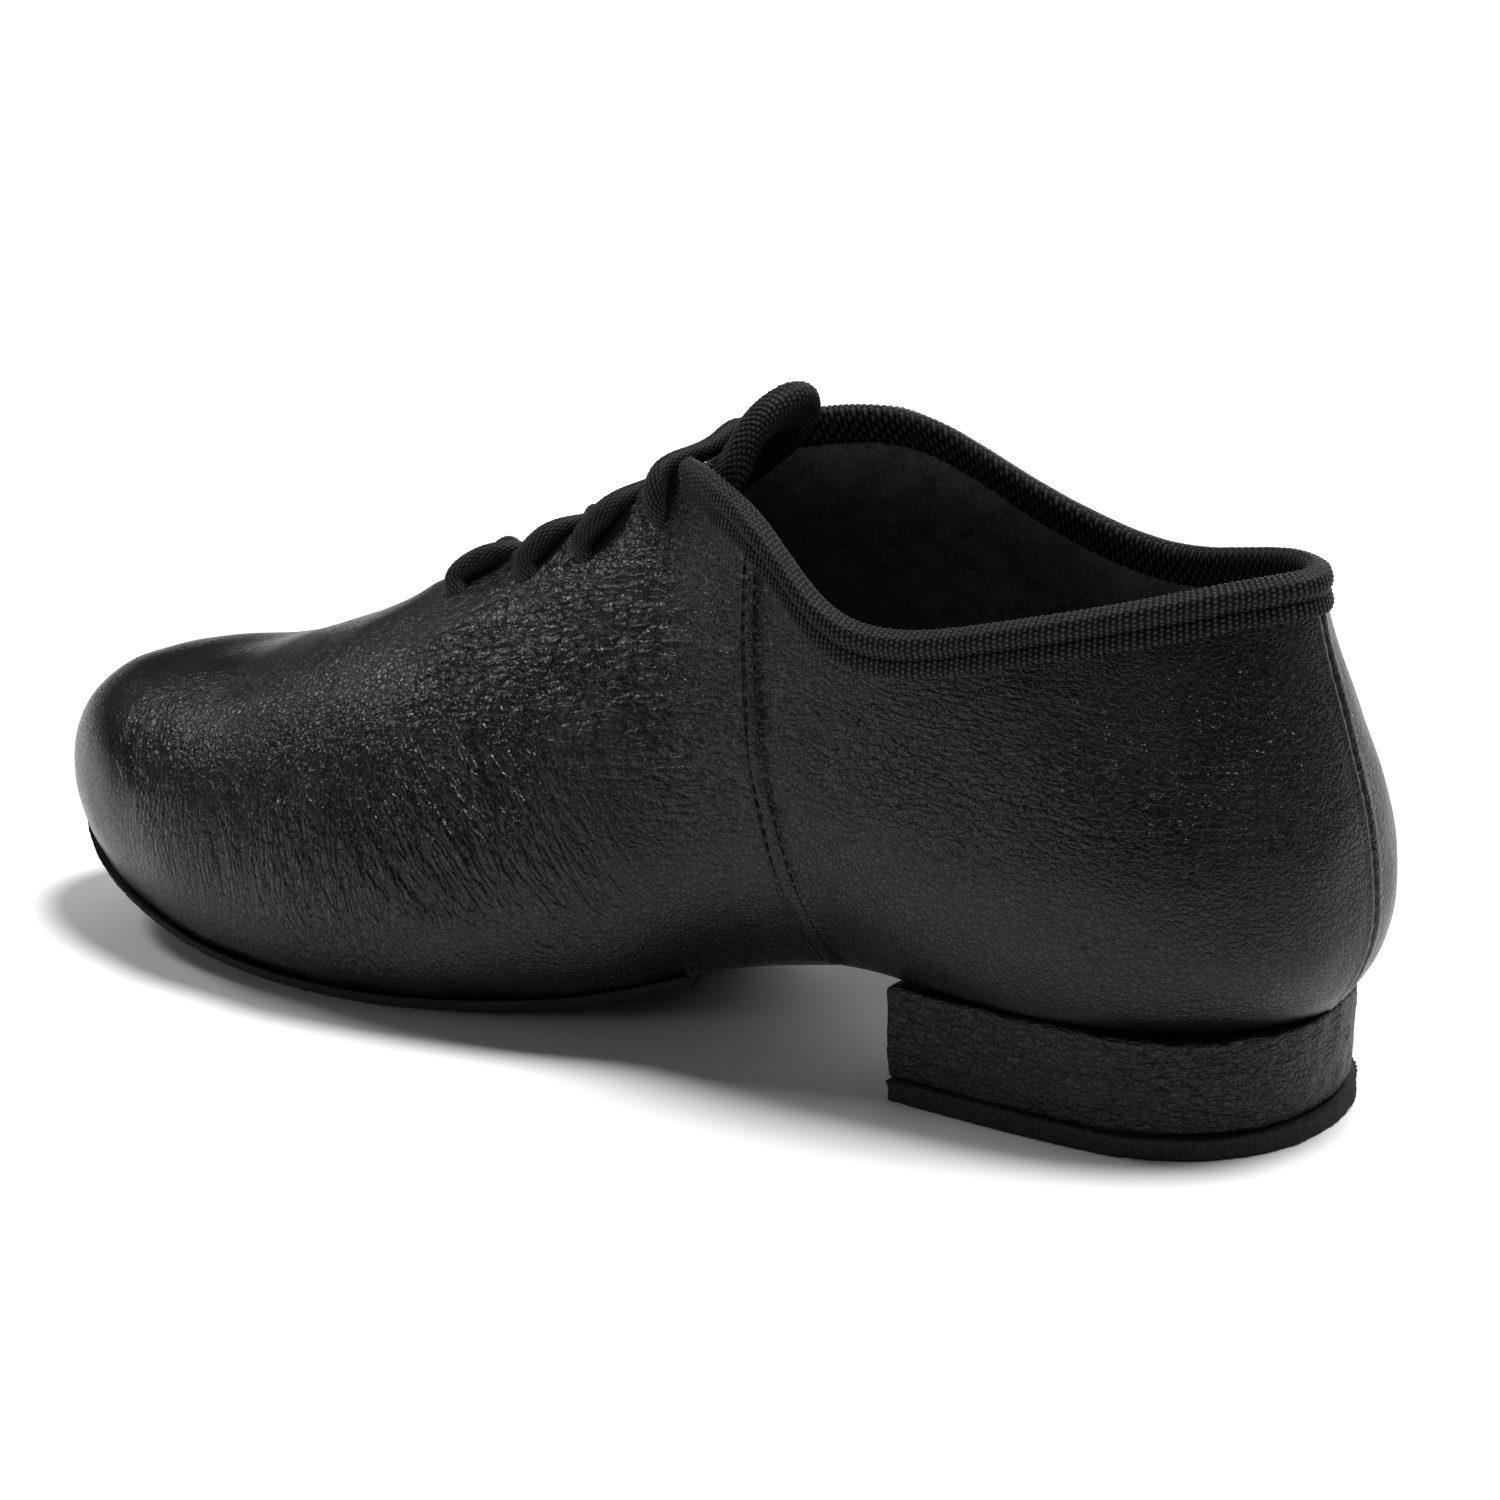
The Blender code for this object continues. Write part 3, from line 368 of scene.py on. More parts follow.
def trace_ribs():
    """Every rib as TRACE_STEPS + 1 points from the feather line up to the collar, throat or ridge."""
    keys = rib_keys()
    foot, form = feather_points(keys)
    inner_crest, outer_crest = crest_points(keys)
    crest = np.vstack([inner_crest, mirror_side(outer_crest)])
    cut = np.concatenate([collar_heights(keys, 1), mirror_side(collar_heights(keys, 2))])
    flare = np.radians(form[:, :1])
    lean = np.radians(np.clip(form[:, 2:3], 0, 90))
    chord = np.linalg.norm(crest - foot, axis=1)[:, None]
    out = outward(foot)
    up = np.array([0.0, 0.0, 1.0])
    foot_end = foot + (out * np.sin(flare) + up * np.cos(flare)) * form[:, 1:2] * chord
    to_foot = foot - crest
    to_foot[:, 2] = 0.0
    turned = np.clip((form[:, 2:3] - 20) / 50, 0, 1)
    side = unit(out * (1 - turned) + unit(to_foot) * turned)
    crest_end = crest + (side * np.sin(lean) - up * np.cos(lean)) * form[:, 3:4] * chord
    share = np.linspace(0, 1, 401)[:, None]
    ribs = []
    for i in range(len(foot)):
        curve = ((1 - share) ** 3 * foot[i] + 3 * (1 - share) ** 2 * share * foot_end[i]
                 + 3 * (1 - share) * share ** 2 * crest_end[i] + share ** 3 * crest[i])
        above = np.nonzero(curve[:, 2] > cut[i])[0]
        if len(above):
            k = above[0]
            part = (cut[i] - curve[k - 1, 2]) / (curve[k, 2] - curve[k - 1, 2])
            curve = np.vstack([curve[:k], curve[k - 1] + part * (curve[k] - curve[k - 1])])
        arc = chord_lengths(curve)
        where = np.linspace(0, arc[-1], TRACE_STEPS + 1)
        ribs.append(read_line(where, arc, curve))
    return keys, np.array(ribs) - np.array([HEEL_CENTRE, 0.0, 0.0])


class Skin:
    """The outer face of the upper as fine ribs, with the outward direction at each point."""

    def __init__(self):
        self.keys, self.ribs = trace_ribs()
        self.count = len(self.ribs)
        self.lengths = np.linalg.norm(np.diff(self.ribs, axis=1), axis=2).sum(1)
        self.all_keys = np.concatenate([self.keys, mirror_side(self.keys)])
        self.is_outer = np.arange(self.count) >= len(self.keys)
        self.normals = self.make_normals()

    def make_normals(self):
        across = np.roll(self.ribs, -1, 0) - np.roll(self.ribs, 1, 0)
        up = np.gradient(self.ribs, axis=1)
        normals = unit(np.cross(up, across))
        if np.sum(normals * (self.ribs - self.ribs.mean((0, 1)))) < 0:
            normals = -normals
        ridge = ROWS.index("throat end")
        for i in range(self.count):
            if self.all_keys[i] >= ridge - 1e-9:
                joined = normals[i, -4] + normals[-i % self.count, -4]
                normals[i, -3:] = unit(joined)
        return normals

    def index(self, key, outer=False):
        i = int(np.argmin(np.abs(self.keys - key)))
        return -i % self.count if outer else i

    def at(self, i, down, lift=0.0):
        """The point that lies down metres below the top of rib i and lift metres off the skin."""
        i = int(i) % self.count
        place = np.clip(1 - down / self.lengths[i], 0, 1) * TRACE_STEPS
        k = min(int(place), TRACE_STEPS - 1)
        part = place - k
        point = self.ribs[i, k] * (1 - part) + self.ribs[i, k + 1] * part
        normal = unit(self.normals[i, k] * (1 - part) + self.normals[i, k + 1] * part)
        if down < 0:
            point = point - unit(self.ribs[i, -1] - self.ribs[i, -8]) * down
        return point + normal * lift

    def between(self, place, down, lift=0.0):
        """As at, for a place between two ribs."""
        low = math.floor(place)
        part = place - low
        return self.at(low, down, lift) * (1 - part) + self.at(low + 1, down, lift) * part


SKIN = Skin()
SIDE = len(SKIN.keys)


def mesh_piece(name, points, faces, material, smooth=True):
    """A mesh with one material, from points and from faces as the numbers of their points."""
    mesh = bpy.data.meshes.new(name)
    mesh.from_pydata(np.asarray(points, dtype=float).tolist(), [], [list(map(int, face)) for face in faces])
    mesh.materials.append(material)
    mesh.polygons.foreach_set("use_smooth", [smooth] * len(mesh.polygons))
    mesh.update()
    piece = bpy.data.objects.new(name, mesh)
    bpy.context.scene.collection.objects.link(piece)
    return piece


def grid_piece(name, grid, material, closed=False):
    """A sheet of quads over a grid of points; closed joins its last row to its first."""
    return mesh_piece(name, grid.reshape(-1, 3), grid_faces(*grid.shape[:2], closed), material)


def add_values(piece, name, values):
    """A number for each point, which the material reads by name."""
    attribute = piece.data.attributes.new(name, "FLOAT", "POINT")
    attribute.data.foreach_set("value", np.asarray(values, dtype=np.float32))


def grid_faces(rows, columns, closed=False):
    """Quads of a grid numbered row by row; closed joins the last row to the first."""
    a = np.arange(rows * columns).reshape(rows, columns)
    b = np.roll(a, -1, 0)
    if not closed:
        a, b = a[:-1], b[:-1]
    return np.stack([a[:, :-1], b[:, :-1], b[:, 1:], a[:, 1:]], axis=-1).reshape(-1, 4)


def face_out(piece):
    """Turn the faces to agree and look out of the piece."""
    work = bmesh.new()
    work.from_mesh(piece.data)
    bmesh.ops.recalc_face_normals(work, faces=work.faces)
    work.to_mesh(piece.data)
    work.free()
    return piece


def keep(piece, slot, *nodes):
    """Put the piece on the root body, in place of the solids named. slot is not used."""
    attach(piece, "root")
    if nodes:
        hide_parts(*nodes)
    return piece


class Shader:
    """Builds a material's nodes. An input takes a number, a colour or another node's output."""

    def __init__(self, name):
        self.material = bpy.data.materials.new(name)
        self.material.use_nodes = True
        self.tree = self.material.node_tree
        self.tree.nodes.clear()
        self.place = self.node("TexCoord", "Object")

    def node(self, kind, out=0, inputs=None, **settings):
        made = self.tree.nodes.new("ShaderNode" + kind)
        for key, value in settings.items():
            setattr(made, key, value)
        for key, value in (inputs or {}).items():
            self.feed(made.inputs[key], value)
        return made.outputs[out]

    def feed(self, socket, value):
        if isinstance(value, bpy.types.NodeSocket):
            self.tree.links.new(value, socket)
        else:
            socket.default_value = value

    def math(self, operation, a, b=0.0):
        made = self.tree.nodes.new("ShaderNodeMath")
        made.operation = operation
        self.feed(made.inputs[0], a)
        self.feed(made.inputs[1], b)
        return made.outputs[0]

    def add(self, a, b):
        return self.math("ADD", a, b)

    def times(self, a, b):
        return self.math("MULTIPLY", a, b)

    def value(self, name):
        return self.node("Attribute", "Fac", attribute_name=name)

    def span(self, value, low, high, to_low=0.0, to_high=1.0):
        inputs = {"Value": value, "From Min": low, "From Max": high, "To Min": to_low, "To Max": to_high}
        return self.node("MapRange", 0, inputs, interpolation_type="SMOOTHSTEP")

    def stretched(self, scale, turn=(0.0, 0.0, 0.0), place=None):
        inputs = {"Vector": place or self.place, "Scale": scale, "Rotation": turn}
        return self.node("Mapping", 0, inputs, vector_type="TEXTURE")

    def noise(self, cell, detail=2.0, place=None, rough=0.5, bend=0.0):
        """Soft noise with forms about cell metres wide."""
        inputs = {"Vector": place or self.place, "Scale": 1.0 / cell, "Detail": detail, "Roughness": rough,
                  "Distortion": bend}
        return self.node("TexNoise", 0, inputs)

    def pebbles(self, cell, place=None, feature="DISTANCE_TO_EDGE"):
        inputs = {"Vector": place or self.place, "Scale": 1.0 / cell, "Randomness": 1.0}
        return self.node("TexVoronoi", 0, inputs, feature=feature)

    def creases(self, cell, stretch, turn, width, place=None, bend=0.6):
        """Thin lines where a stretched noise crosses its middle: 1 on a line, 0 away from it."""
        lines = self.noise(cell, 2.0, self.stretched(stretch, turn, place), 0.55, bend)
        off = self.math("ABSOLUTE", self.math("SUBTRACT", lines, 0.5))
        return self.span(off, 0.0, width, 1.0, 0.0)

    def finish(self, height, **settings):
        """Principled surface; height is the relief in metres."""
        bump = self.node("Bump", 0, {"Height": height, "Distance": 1.0, "Strength": 1.0})
        shader = self.tree.nodes.new("ShaderNodeBsdfPrincipled")
        self.feed(shader.inputs["Normal"], bump)
        for key, value in settings.items():
            self.feed(shader.inputs[key.replace("_", " ")], value)
        output = self.tree.nodes.new("ShaderNodeOutputMaterial")
        self.tree.links.new(shader.outputs[0], output.inputs["Surface"])
        return self.material

    def mix(self, factor, one, two):
        made = self.tree.nodes.new("ShaderNodeMix")
        made.data_type = "RGBA"
        for index, value in ((0, factor), (6, one), (7, two)):
            self.feed(made.inputs[index], value)
        return made.outputs[2]


# The leather's surface, all lengths in metres. The grain is pebbles in two sizes, everywhere. Each kind of
# plate and fold holds where its mask does. Plates are pebbles drawn out along X, Y and Z and turned about Y
# in degrees, with narrow cracks between them; folds are longer soft lines, where width is a share of the
# noise that draws them.
GRAIN = [
    # cell, width of the groove between pebbles as a share of the cell, depth
    (0.00115, 0.22, 0.000070),
    (0.00060, 0.25, 0.000032),
]
PLATES = [
    # mask, cell, stretch, turn, depth
    ("upright", 0.00120, (1.0, 1.2, 3.4), 12, 0.00017),
    ("slanted", 0.00150, (1.0, 1.3, 3.0), 36, 0.00024),
    ("net",     0.00195, (2.4, 1.4, 1.0),  6, 0.00021),
    ("level",   0.00120, (2.6, 1.7, 1.0),  0, 0.00008),
]
FOLDS = [
    # mask, cell, stretch, turn, width, depth
    ("upright", 0.0030, (1.0, 1.0, 7.0), 12, 0.11, 0.00030),
    ("slanted", 0.0034, (1.0, 1.0, 6.0), 36, 0.11, 0.00045),
    ("net",     0.0040, (3.4, 1.8, 1.0),  8, 0.08, 0.00022),
    ("level",   0.0022, (5.0, 3.0, 1.0), -5, 0.10, 0.00012),
]

# The rounded edge of a plate and the crack beside it, darkened with painted shade, as shares of its cell;
# soft waves; pores
PLATE_EDGE = 0.30
CRACK = 0.07
WAVE_CELL = 0.006
WAVE_DEPTH = 0.00016
PORE_CELL = 0.0042
PORE_STRETCH = (1.6, 1.0, 0.8)
PORE_DEPTH = 0.00014

# What is left of the grain where the leather is polished or worn, and of all relief where it lies still;
# gloss in the grain's grooves and on its pebbles, lowered in the grooves as painted shade, and the share of
# it left in a crack as painted shade
POLISHED_GRAIN = 0.30
WORN_GRAIN = 0.60
STILL = 0.1
GLOSS_AND_GROOVE_SHADE = (0.22, 0.32)
CRACK_SHADE_GLOSS = 0.3
BLACK = (0.0042, 0.0041, 0.0041)


def shaded(colour, share):
    """A colour made darker or lighter, with its alpha."""
    return tuple(value * share for value in colour) + (1.0,)


def leather_material(name, masks=None, rough=0.27):
    """Soft full-grain leather: pebbled grain, and cracks and folds where a mask calls for them. masks gives
    one strength for the whole piece by mask; without it, the piece's own values are read. Polish and wear
    flatten the grain, and where the piece is still the whole relief nearly goes."""
    shade = Shader(name)

    def strength(mask):
        return shade.value(mask) if masks is None else masks.get(mask, 0.0)

    drift = shade.node("TexNoise", "Color", {"Vector": shade.place, "Scale": 900.0, "Detail": 1.0})
    drift = shade.node("VectorMath", 0, {0: drift, 1: (0.0004, 0.0004, 0.0004)}, operation="MULTIPLY")
    bent = shade.node("VectorMath", 0, {0: shade.place, 1: drift}, operation="ADD")
    coarse, fine = [shade.span(shade.pebbles(cell, bent), 0.0, groove) for cell, groove, _ in GRAIN]
    grain = shade.add(shade.times(coarse, GRAIN[0][2]), shade.times(fine, GRAIN[1][2]))
    grain = shade.times(grain, shade.span(strength("polish"), 0.0, 1.0, 1.0, POLISHED_GRAIN))
    worn = shade.add(shade.add(strength("upright"), strength("slanted")), strength("net"))
    grain = shade.times(grain, shade.span(worn, 0.0, 1.0, 1.0, WORN_GRAIN))
    height = shade.add(grain, shade.times(shade.noise(WAVE_CELL, 3.0), WAVE_DEPTH))
    cracks = 0.0
    for mask, cell, stretch, turn, depth in PLATES:
        if masks is not None and mask not in masks:
            continue
        edge = shade.pebbles(cell, shade.stretched(stretch, (0.0, math.radians(turn), 0.0), bent))
        plate = shade.math("POWER", shade.span(edge, 0.0, PLATE_EDGE), 0.7)
        height = shade.add(height, shade.times(shade.times(plate, strength(mask)), depth))
        cracks = shade.add(cracks, shade.times(shade.span(edge, 0.0, CRACK, 1.0, 0.0), strength(mask)))
    for mask, cell, stretch, turn, width, depth in FOLDS:
        if masks is not None and mask not in masks:
            continue
        lines = shade.creases(cell, stretch, (0.0, math.radians(turn), 0.0), width, bent)
        height = shade.math("SUBTRACT", height, shade.times(shade.times(lines, strength(mask)), depth))
    cracks = shade.math("MINIMUM", cracks, 1.0)
    pores = shade.pebbles(PORE_CELL, shade.stretched(PORE_STRETCH), "F1")
    pores = shade.times(shade.span(pores, 0.05, 0.13, 1.0, 0.0), strength("pores"))
    height = shade.math("SUBTRACT", height, shade.times(pores, PORE_DEPTH))
    height = shade.times(height, shade.span(strength("still"), 0.0, 1.0, 1.0, STILL))
    tone = shade.noise(0.018, 3.0)
    base = shade.mix(shade.span(tone, 0.35, 0.65), shaded(BLACK, 0.7), shaded(BLACK, 1.3))
    roughness = shade.add(shade.span(coarse, 0.0, 1.0, 0.08, 0.0),
                          shade.span(tone, 0.3, 0.7, rough - 0.03, rough + 0.04))
    # Painted shade: the gloss drops in the grain's grooves and in the cracks, so that they darken as shade
    # would
    gloss_and_shade = shade.times(shade.span(coarse, 0.0, 1.0, *GLOSS_AND_GROOVE_SHADE), shade.span(cracks, 0.0, 1.0, 1.0, CRACK_SHADE_GLOSS))
    return shade.finish(height, Base_Color=base, Roughness=roughness, Specular_IOR_Level=gloss_and_shade)


def textile_material(name, colour, rough, cell, depth, woven_with_painted_shade=False):
    """Thread or cloth with fine fibres. On a woven piece the colour follows the threads' heights: painted
    shade in the gaps between the beads and a painted highlight on their crests.
    """
    shade = Shader(name)
    fibres = shade.noise(cell, 3.0, None, 0.7)
    fuzz = shade.noise(cell * 6, 2.0)
    level = shade.span(shade.add(shade.times(fibres, 0.6), shade.times(fuzz, 0.4)), 0.35, 0.65)
    if woven_with_painted_shade:
        # Painted shade and highlight: near black in the gaps, lighter on the crests, set by the threads'
        # heights
        crest = shade.span(shade.value("crest"), 0.42, 1.0)
        level = shade.times(crest, shade.span(level, 0.0, 1.0, 0.6, 1.0))
    base = shade.mix(level, shaded(colour, 0.02 if woven_with_painted_shade else 0.6), shaded(colour, 1.5))
    return shade.finish(shade.times(fibres, depth), Base_Color=base, Roughness=rough,
                        Specular_IOR_Level=0.12 if woven_with_painted_shade else 0.2)


def rough_material(name, colour, rough, cell, depth):
    """Suede, board or rubber: a matte grain in two sizes."""
    shade = Shader(name)
    coarse = shade.noise(cell, 4.0, None, 0.7)
    fine = shade.noise(cell * 0.25, 2.0)
    height = shade.add(shade.times(coarse, depth), shade.times(fine, depth * 0.4))
    base = shade.mix(shade.span(coarse, 0.35, 0.65), shaded(colour, 0.65), shaded(colour, 1.4))
    return shade.finish(height, Base_Color=base, Roughness=rough, Specular_IOR_Level=0.15)


# The creases of the leather as geometry, in millimetres on each side of the shoe: where a trough starts and
# ends along the foot and up, how far it bows, how wide it is and how deep.
CREASES = [
    # side, x_from, z_from, x_to, z_to, bow, half_width, depth
    ("inner", 138, 68, 129, 56,  1.0, 0.70, 0.340),
    ("inner", 135, 71, 126, 58,  0.8, 0.65, 0.374),
    ("inner", 132, 72, 123, 60,  0.6, 0.60, 0.306),
    ("inner", 142, 65, 134, 55,  0.6, 0.80, 0.238),
    ("inner", 129, 80, 125, 71,  0.6, 0.70, 0.306),
    ("inner", 113, 84, 109, 75,  0.6, 0.70, 0.306),
    ("inner",  97, 93,  94, 86, -0.5, 0.70, 0.272),
    ("inner", 123, 56, 104, 42,  1.2, 1.00, 0.374),
    ("inner", 119, 60,  98, 47,  1.2, 0.90, 0.272),
    ("inner", 131, 52, 112, 34,  1.5, 1.10, 0.340),
    ("inner", 137, 40, 122, 22,  1.2, 1.10, 0.340),
    ("inner", 131, 42, 115, 24,  1.0, 1.00, 0.272),
    ("inner", 146, 44, 133, 26,  1.2, 1.00, 0.272),
    ("inner", 154, 36, 144, 22,  0.8, 1.10, 0.255),
    ("inner", 161, 38, 152, 20,  0.6, 1.20, 0.221),
    ("inner", 168, 36, 165, 19,  0.8, 1.20, 0.204),
    ("inner", 175, 34, 172, 17,  0.5, 1.20, 0.170),
    ("inner", 161, 59, 153, 50,  0.6, 1.00, 0.170),
    ("inner", 202, 48, 192, 36,  0.8, 1.30, 0.170),
    ("inner", 208, 45, 199, 34,  0.8, 1.20, 0.136),
    ("inner", 106, 66,  84, 70,  1.0, 1.00, 0.204),
    ("inner", 108, 60,  82, 62, -1.0, 1.00, 0.204),
    ("inner", 104, 75,  88, 80,  0.8, 0.90, 0.204),
    ("inner",  60, 58,  44, 44,  1.5, 1.40, 0.238),
    ("inner",  56, 66,  38, 56,  1.2, 1.30, 0.204),
    ("inner",  64, 70,  48, 66,  1.0, 1.20, 0.170),
    ("outer", 138, 66, 126, 52,  1.0, 0.80, 0.340),
    ("outer", 131, 68, 118, 54,  1.0, 0.80, 0.306),
    ("outer", 126, 77, 121, 67,  0.8, 0.80, 0.272),
    ("outer", 110, 82, 105, 71,  0.8, 0.80, 0.272),
    ("outer", 145, 54, 128, 32,  1.5, 1.10, 0.340),
    ("outer", 134, 48, 116, 28,  1.2, 1.10, 0.306),
    ("outer", 156, 44, 144, 22,  1.0, 1.10, 0.255),
    ("outer", 166, 38, 157, 19,  0.8, 1.20, 0.204),
    ("outer", 104, 66,  80, 66,  1.0, 1.00, 0.204),
    ("outer",  98, 54,  76, 50, -1.0, 1.10, 0.204),
    ("outer",  60, 62,  42, 50,  1.4, 1.40, 0.204),
    ("outer", 204, 45, 194, 32,  0.8, 1.20, 0.136),
]

# Where each kind of wrinkle shows: mask, x, z, reach along, reach up (millimetres) and strength.
WRINKLED = [
    ("upright", 150, 30, 34, 24, 1.0),
    ("upright", 185, 30, 16, 18, 0.45),
    ("upright", 198, 42, 12, 10, 0.5),
    ("slanted", 122, 42, 22, 20, 1.0),
    ("slanted", 104, 34, 18, 16, 0.5),
    ("net",     100, 72, 34, 20, 1.0),
    ("net",     128, 66, 16, 14, 0.9),
    ("net",      74, 58, 16, 22, 0.6),
    ("level",    20, 66, 52, 20, 1.0),
    ("level",    66, 70, 22, 22, 0.7),
    ("level",   -30, 60, 16, 30, 0.5),
    ("pores",   -12, 42, 30, 15, 1.0),
    ("polish",  205, 34, 26, 30, 1.0),
]
MM = 0.001


def crease_relief(points):
    """Troughs with a low ridge on both sides, along the table's lines."""
    relief = np.zeros(points.shape[:-1])
    flat = points[..., (0, 2)] / MM
    for side, x0, z0, x1, z1, bow, half, depth in CREASES:
        start, end = np.array([x0, z0], float), np.array([x1, z1], float)
        reach = np.linalg.norm(end - start)
        way = (end - start) / reach
        across = np.array([-way[1], way[0]])
        rel = flat - start
        share = np.clip(rel @ way / reach, 0.0, 1.0)
        wobble = 0.35 * np.sin(share * 9.0 + x0)
        off = rel @ across - bow * 4 * share * (1 - share) - wobble
        beyond = np.abs(rel @ way / reach - share) * reach
        taper = np.sin(np.pi * share) ** 0.7 * bell(beyond, 1.5)
        trough = bell(off, half)
        ridge = bell(np.abs(off), 1.1 * half, 2.0 * half)
        here = (points[..., 1] > 0) == (side == "inner")
        relief += np.where(here, (0.5 * ridge - trough) * taper * depth * MM, 0.0)
    return relief


def wrinkle_masks(points):
    """Strength of each kind of wrinkle at each point; where they crowd, the lines share a strength of 1."""
    masks = {}
    for name, x, z, along, up, strength in WRINKLED:
        away = ((points[..., 0] / MM - x) / along) ** 2 + ((points[..., 2] / MM - z) / up) ** 2
        spot = np.exp(-away ** 1.5)
        masks[name] = np.maximum(masks.get(name, 0.0), spot * strength)
    lines = [record[0] for record in PLATES]
    crowd = np.maximum(sum(masks[name] for name in lines), 1.0)
    for name in lines:
        masks[name] = masks[name] / crowd
    return masks


def soft_waves(points, seed, size, count=24):
    """A smooth random field of unit size: a few sine waves about size metres long."""
    rng = np.random.default_rng(seed)
    field = np.zeros(points.shape[:-1])
    for _ in range(count):
        way = rng.normal(size=3)
        way = way / np.linalg.norm(way) * 2 * math.pi / (size * rng.uniform(0.7, 1.5))
        field += np.sin(points @ way + rng.uniform(0, 2 * math.pi))
    return field * math.sqrt(2.0 / count)


def seam_offsets(points, rib, span=3):
    """Signed distance of each leather point from the seam's rib, square to it."""
    count = len(points)
    across = unit(points[(rib + span) % count] - points[(rib - span) % count])
    return np.einsum("irk,rk->ir", points - points[rib][None], across)


def seam_relief(points):
    """The raised bands of the side seams with their stitch rows, and the valley of the back seam."""
    relief = np.zeros(points.shape[:2])
    down = chord_lengths(points[:, ::-1])[:, ::-1]
    seam_row = ROWS.index("side seam")
    for outer in (False, True):
        rib = SKIN.index(seam_row, outer)
        off = seam_offsets(points, rib)
        near = np.abs(np.arange(len(points)) - rib) < SEAM_RIBS + FINE * 3
        side = np.abs(off)
        band = 1 - smooth_step(SEAM_HALF_WIDTH - SEAM_SLOPE / 2, SEAM_HALF_WIDTH + SEAM_SLOPE, side)
        cord = bell(off, *SEAM_CORD[:2]) * SEAM_CORD[2]
        pull = 0.7 + 0.3 * np.cos(2 * math.pi * down[rib] / SEAM_STITCH_PITCH)[None]
        row = bell(side, *SEAM_ROW[:2]) * pull * SEAM_ROW[2]
        wave = np.cos(2 * math.pi * down[rib] / (SEAM_STITCH_PITCH * 1.3))[None]
        pucker = bell(side, *SEAM_PUCKER[:2]) * wave * SEAM_PUCKER[2]
        relief += np.where(near[:, None], band * SEAM_RAISE + cord - row + pucker, 0.0)
    off = seam_offsets(points, 0)
    around = np.minimum(np.arange(len(points)), len(points) - np.arange(len(points)))
    near = around < SEAM_RIBS + FINE * 3
    pull = 0.65 + 0.35 * np.cos(2 * math.pi * down[0] / BACK_STITCH_PITCH)[None]
    valley = bell(off, *BACK_VALLEY[:2]) * BACK_VALLEY[2] * pull
    shoulders = bell(np.abs(off), *BACK_SHOULDER[:2]) * BACK_SHOULDER[2]
    lap = smooth_step(-0.0002, 0.0006, off) * (1 - smooth_step(0.003, 0.009, off)) * BACK_LAP
    relief += np.where(near[:, None], shoulders - valley + lap, 0.0)
    return relief


def hole_relief(points):
    """The punched holes as dips that the strands go down into, each in a low ring of pulled leather."""
    relief = np.zeros(points.shape[:2])
    for row, share in LACE_HOLES:
        for outer in (False, True):
            centre = SKIN.at(SKIN.index(ROWS.index(row) + share, outer), HOLE_SETBACK)
            away = np.linalg.norm(points - centre, axis=-1)
            relief -= HOLE_DEPTH * (1 - smooth_step(*HOLE_WALL, away))
            relief += HOLE_LIP[2] * bell(away, *HOLE_LIP[:2])
    return relief


def smooth_ridge(points):
    """Round the leather over the toes, where the ribs of both sides meet, and give its outward directions."""
    first = ROWS.index("throat end") + 0.15
    mirror = -np.arange(len(points)) % len(points)
    met = (np.linalg.norm(points[:, -1] - points[mirror, -1], axis=1) < 1e-5) & (SKIN.all_keys >= first)
    away = np.linalg.norm(points - points[:, -1:], axis=2)
    weight = 1 - smooth_step(RIDGE_REACH * 0.4, RIDGE_REACH, away)
    weight *= (met * smooth_step(first, first + 0.5, SKIN.all_keys))[:, None]
    for _ in range(RIDGE_ROUNDS):
        above = np.concatenate([points[:, 1:], points[mirror, -2][:, None]], axis=1)
        below = np.concatenate([points[:, :1], points[:, :-1]], axis=1)
        mean = (above + below + np.roll(points, 1, 0) + np.roll(points, -1, 0)) / 4
        points = points + (mean - points) * weight[..., None] * 0.8
        points[met, -1] = (points[met, -1] + points[mirror[met], -1]) / 2
    around = np.roll(points, -1, 0) - np.roll(points, 1, 0)
    up = np.gradient(points, axis=1)
    across = points[mirror, -2] - points[:, -2]
    crossing = met & (np.linalg.norm(across, axis=1) > 1e-5)
    up[crossing, -1] = across[crossing]
    normals = np.cross(around, up)
    normals *= np.sign(np.sum(normals * SKIN.normals[:, ::ROW_STEP]))
    normals = unit(normals)
    normals[~crossing & met, -1] = normals[~crossing & met, -2]
    share = np.clip(weight * 2, 0, 1)[..., None]
    return points, unit(SKIN.normals[:, ::ROW_STEP] * (1 - share) + normals * share)


def under_rows():
    """Rows of points from in under the foot out towards the feather line, for every rib."""
    foot = SKIN.ribs[:, 0]
    out = outward(foot)
    way = unit(foot - SKIN.ribs[:, 3])
    under = underside_heights(SKIN.keys)
    drop = np.maximum(foot[:, 2] - under, 0.0002)
    bend = foot + way * (drop / np.maximum(-way[:, 2], 0.3))[:, None]
    bend[:, 2] = under
    inset = foot - out * ROUND_IN
    inset[:, 2] = under
    margin = foot - out * MARGIN
    margin[:, 2] = under
    rows = [margin, (inset + margin) / 2, inset]
    for share in (0.75, 0.5, 0.25):
        back = 1 - share
        rows.append(back ** 2 * foot + 2 * back * share * bend + share ** 2 * inset)
    return np.stack(rows, axis=1)


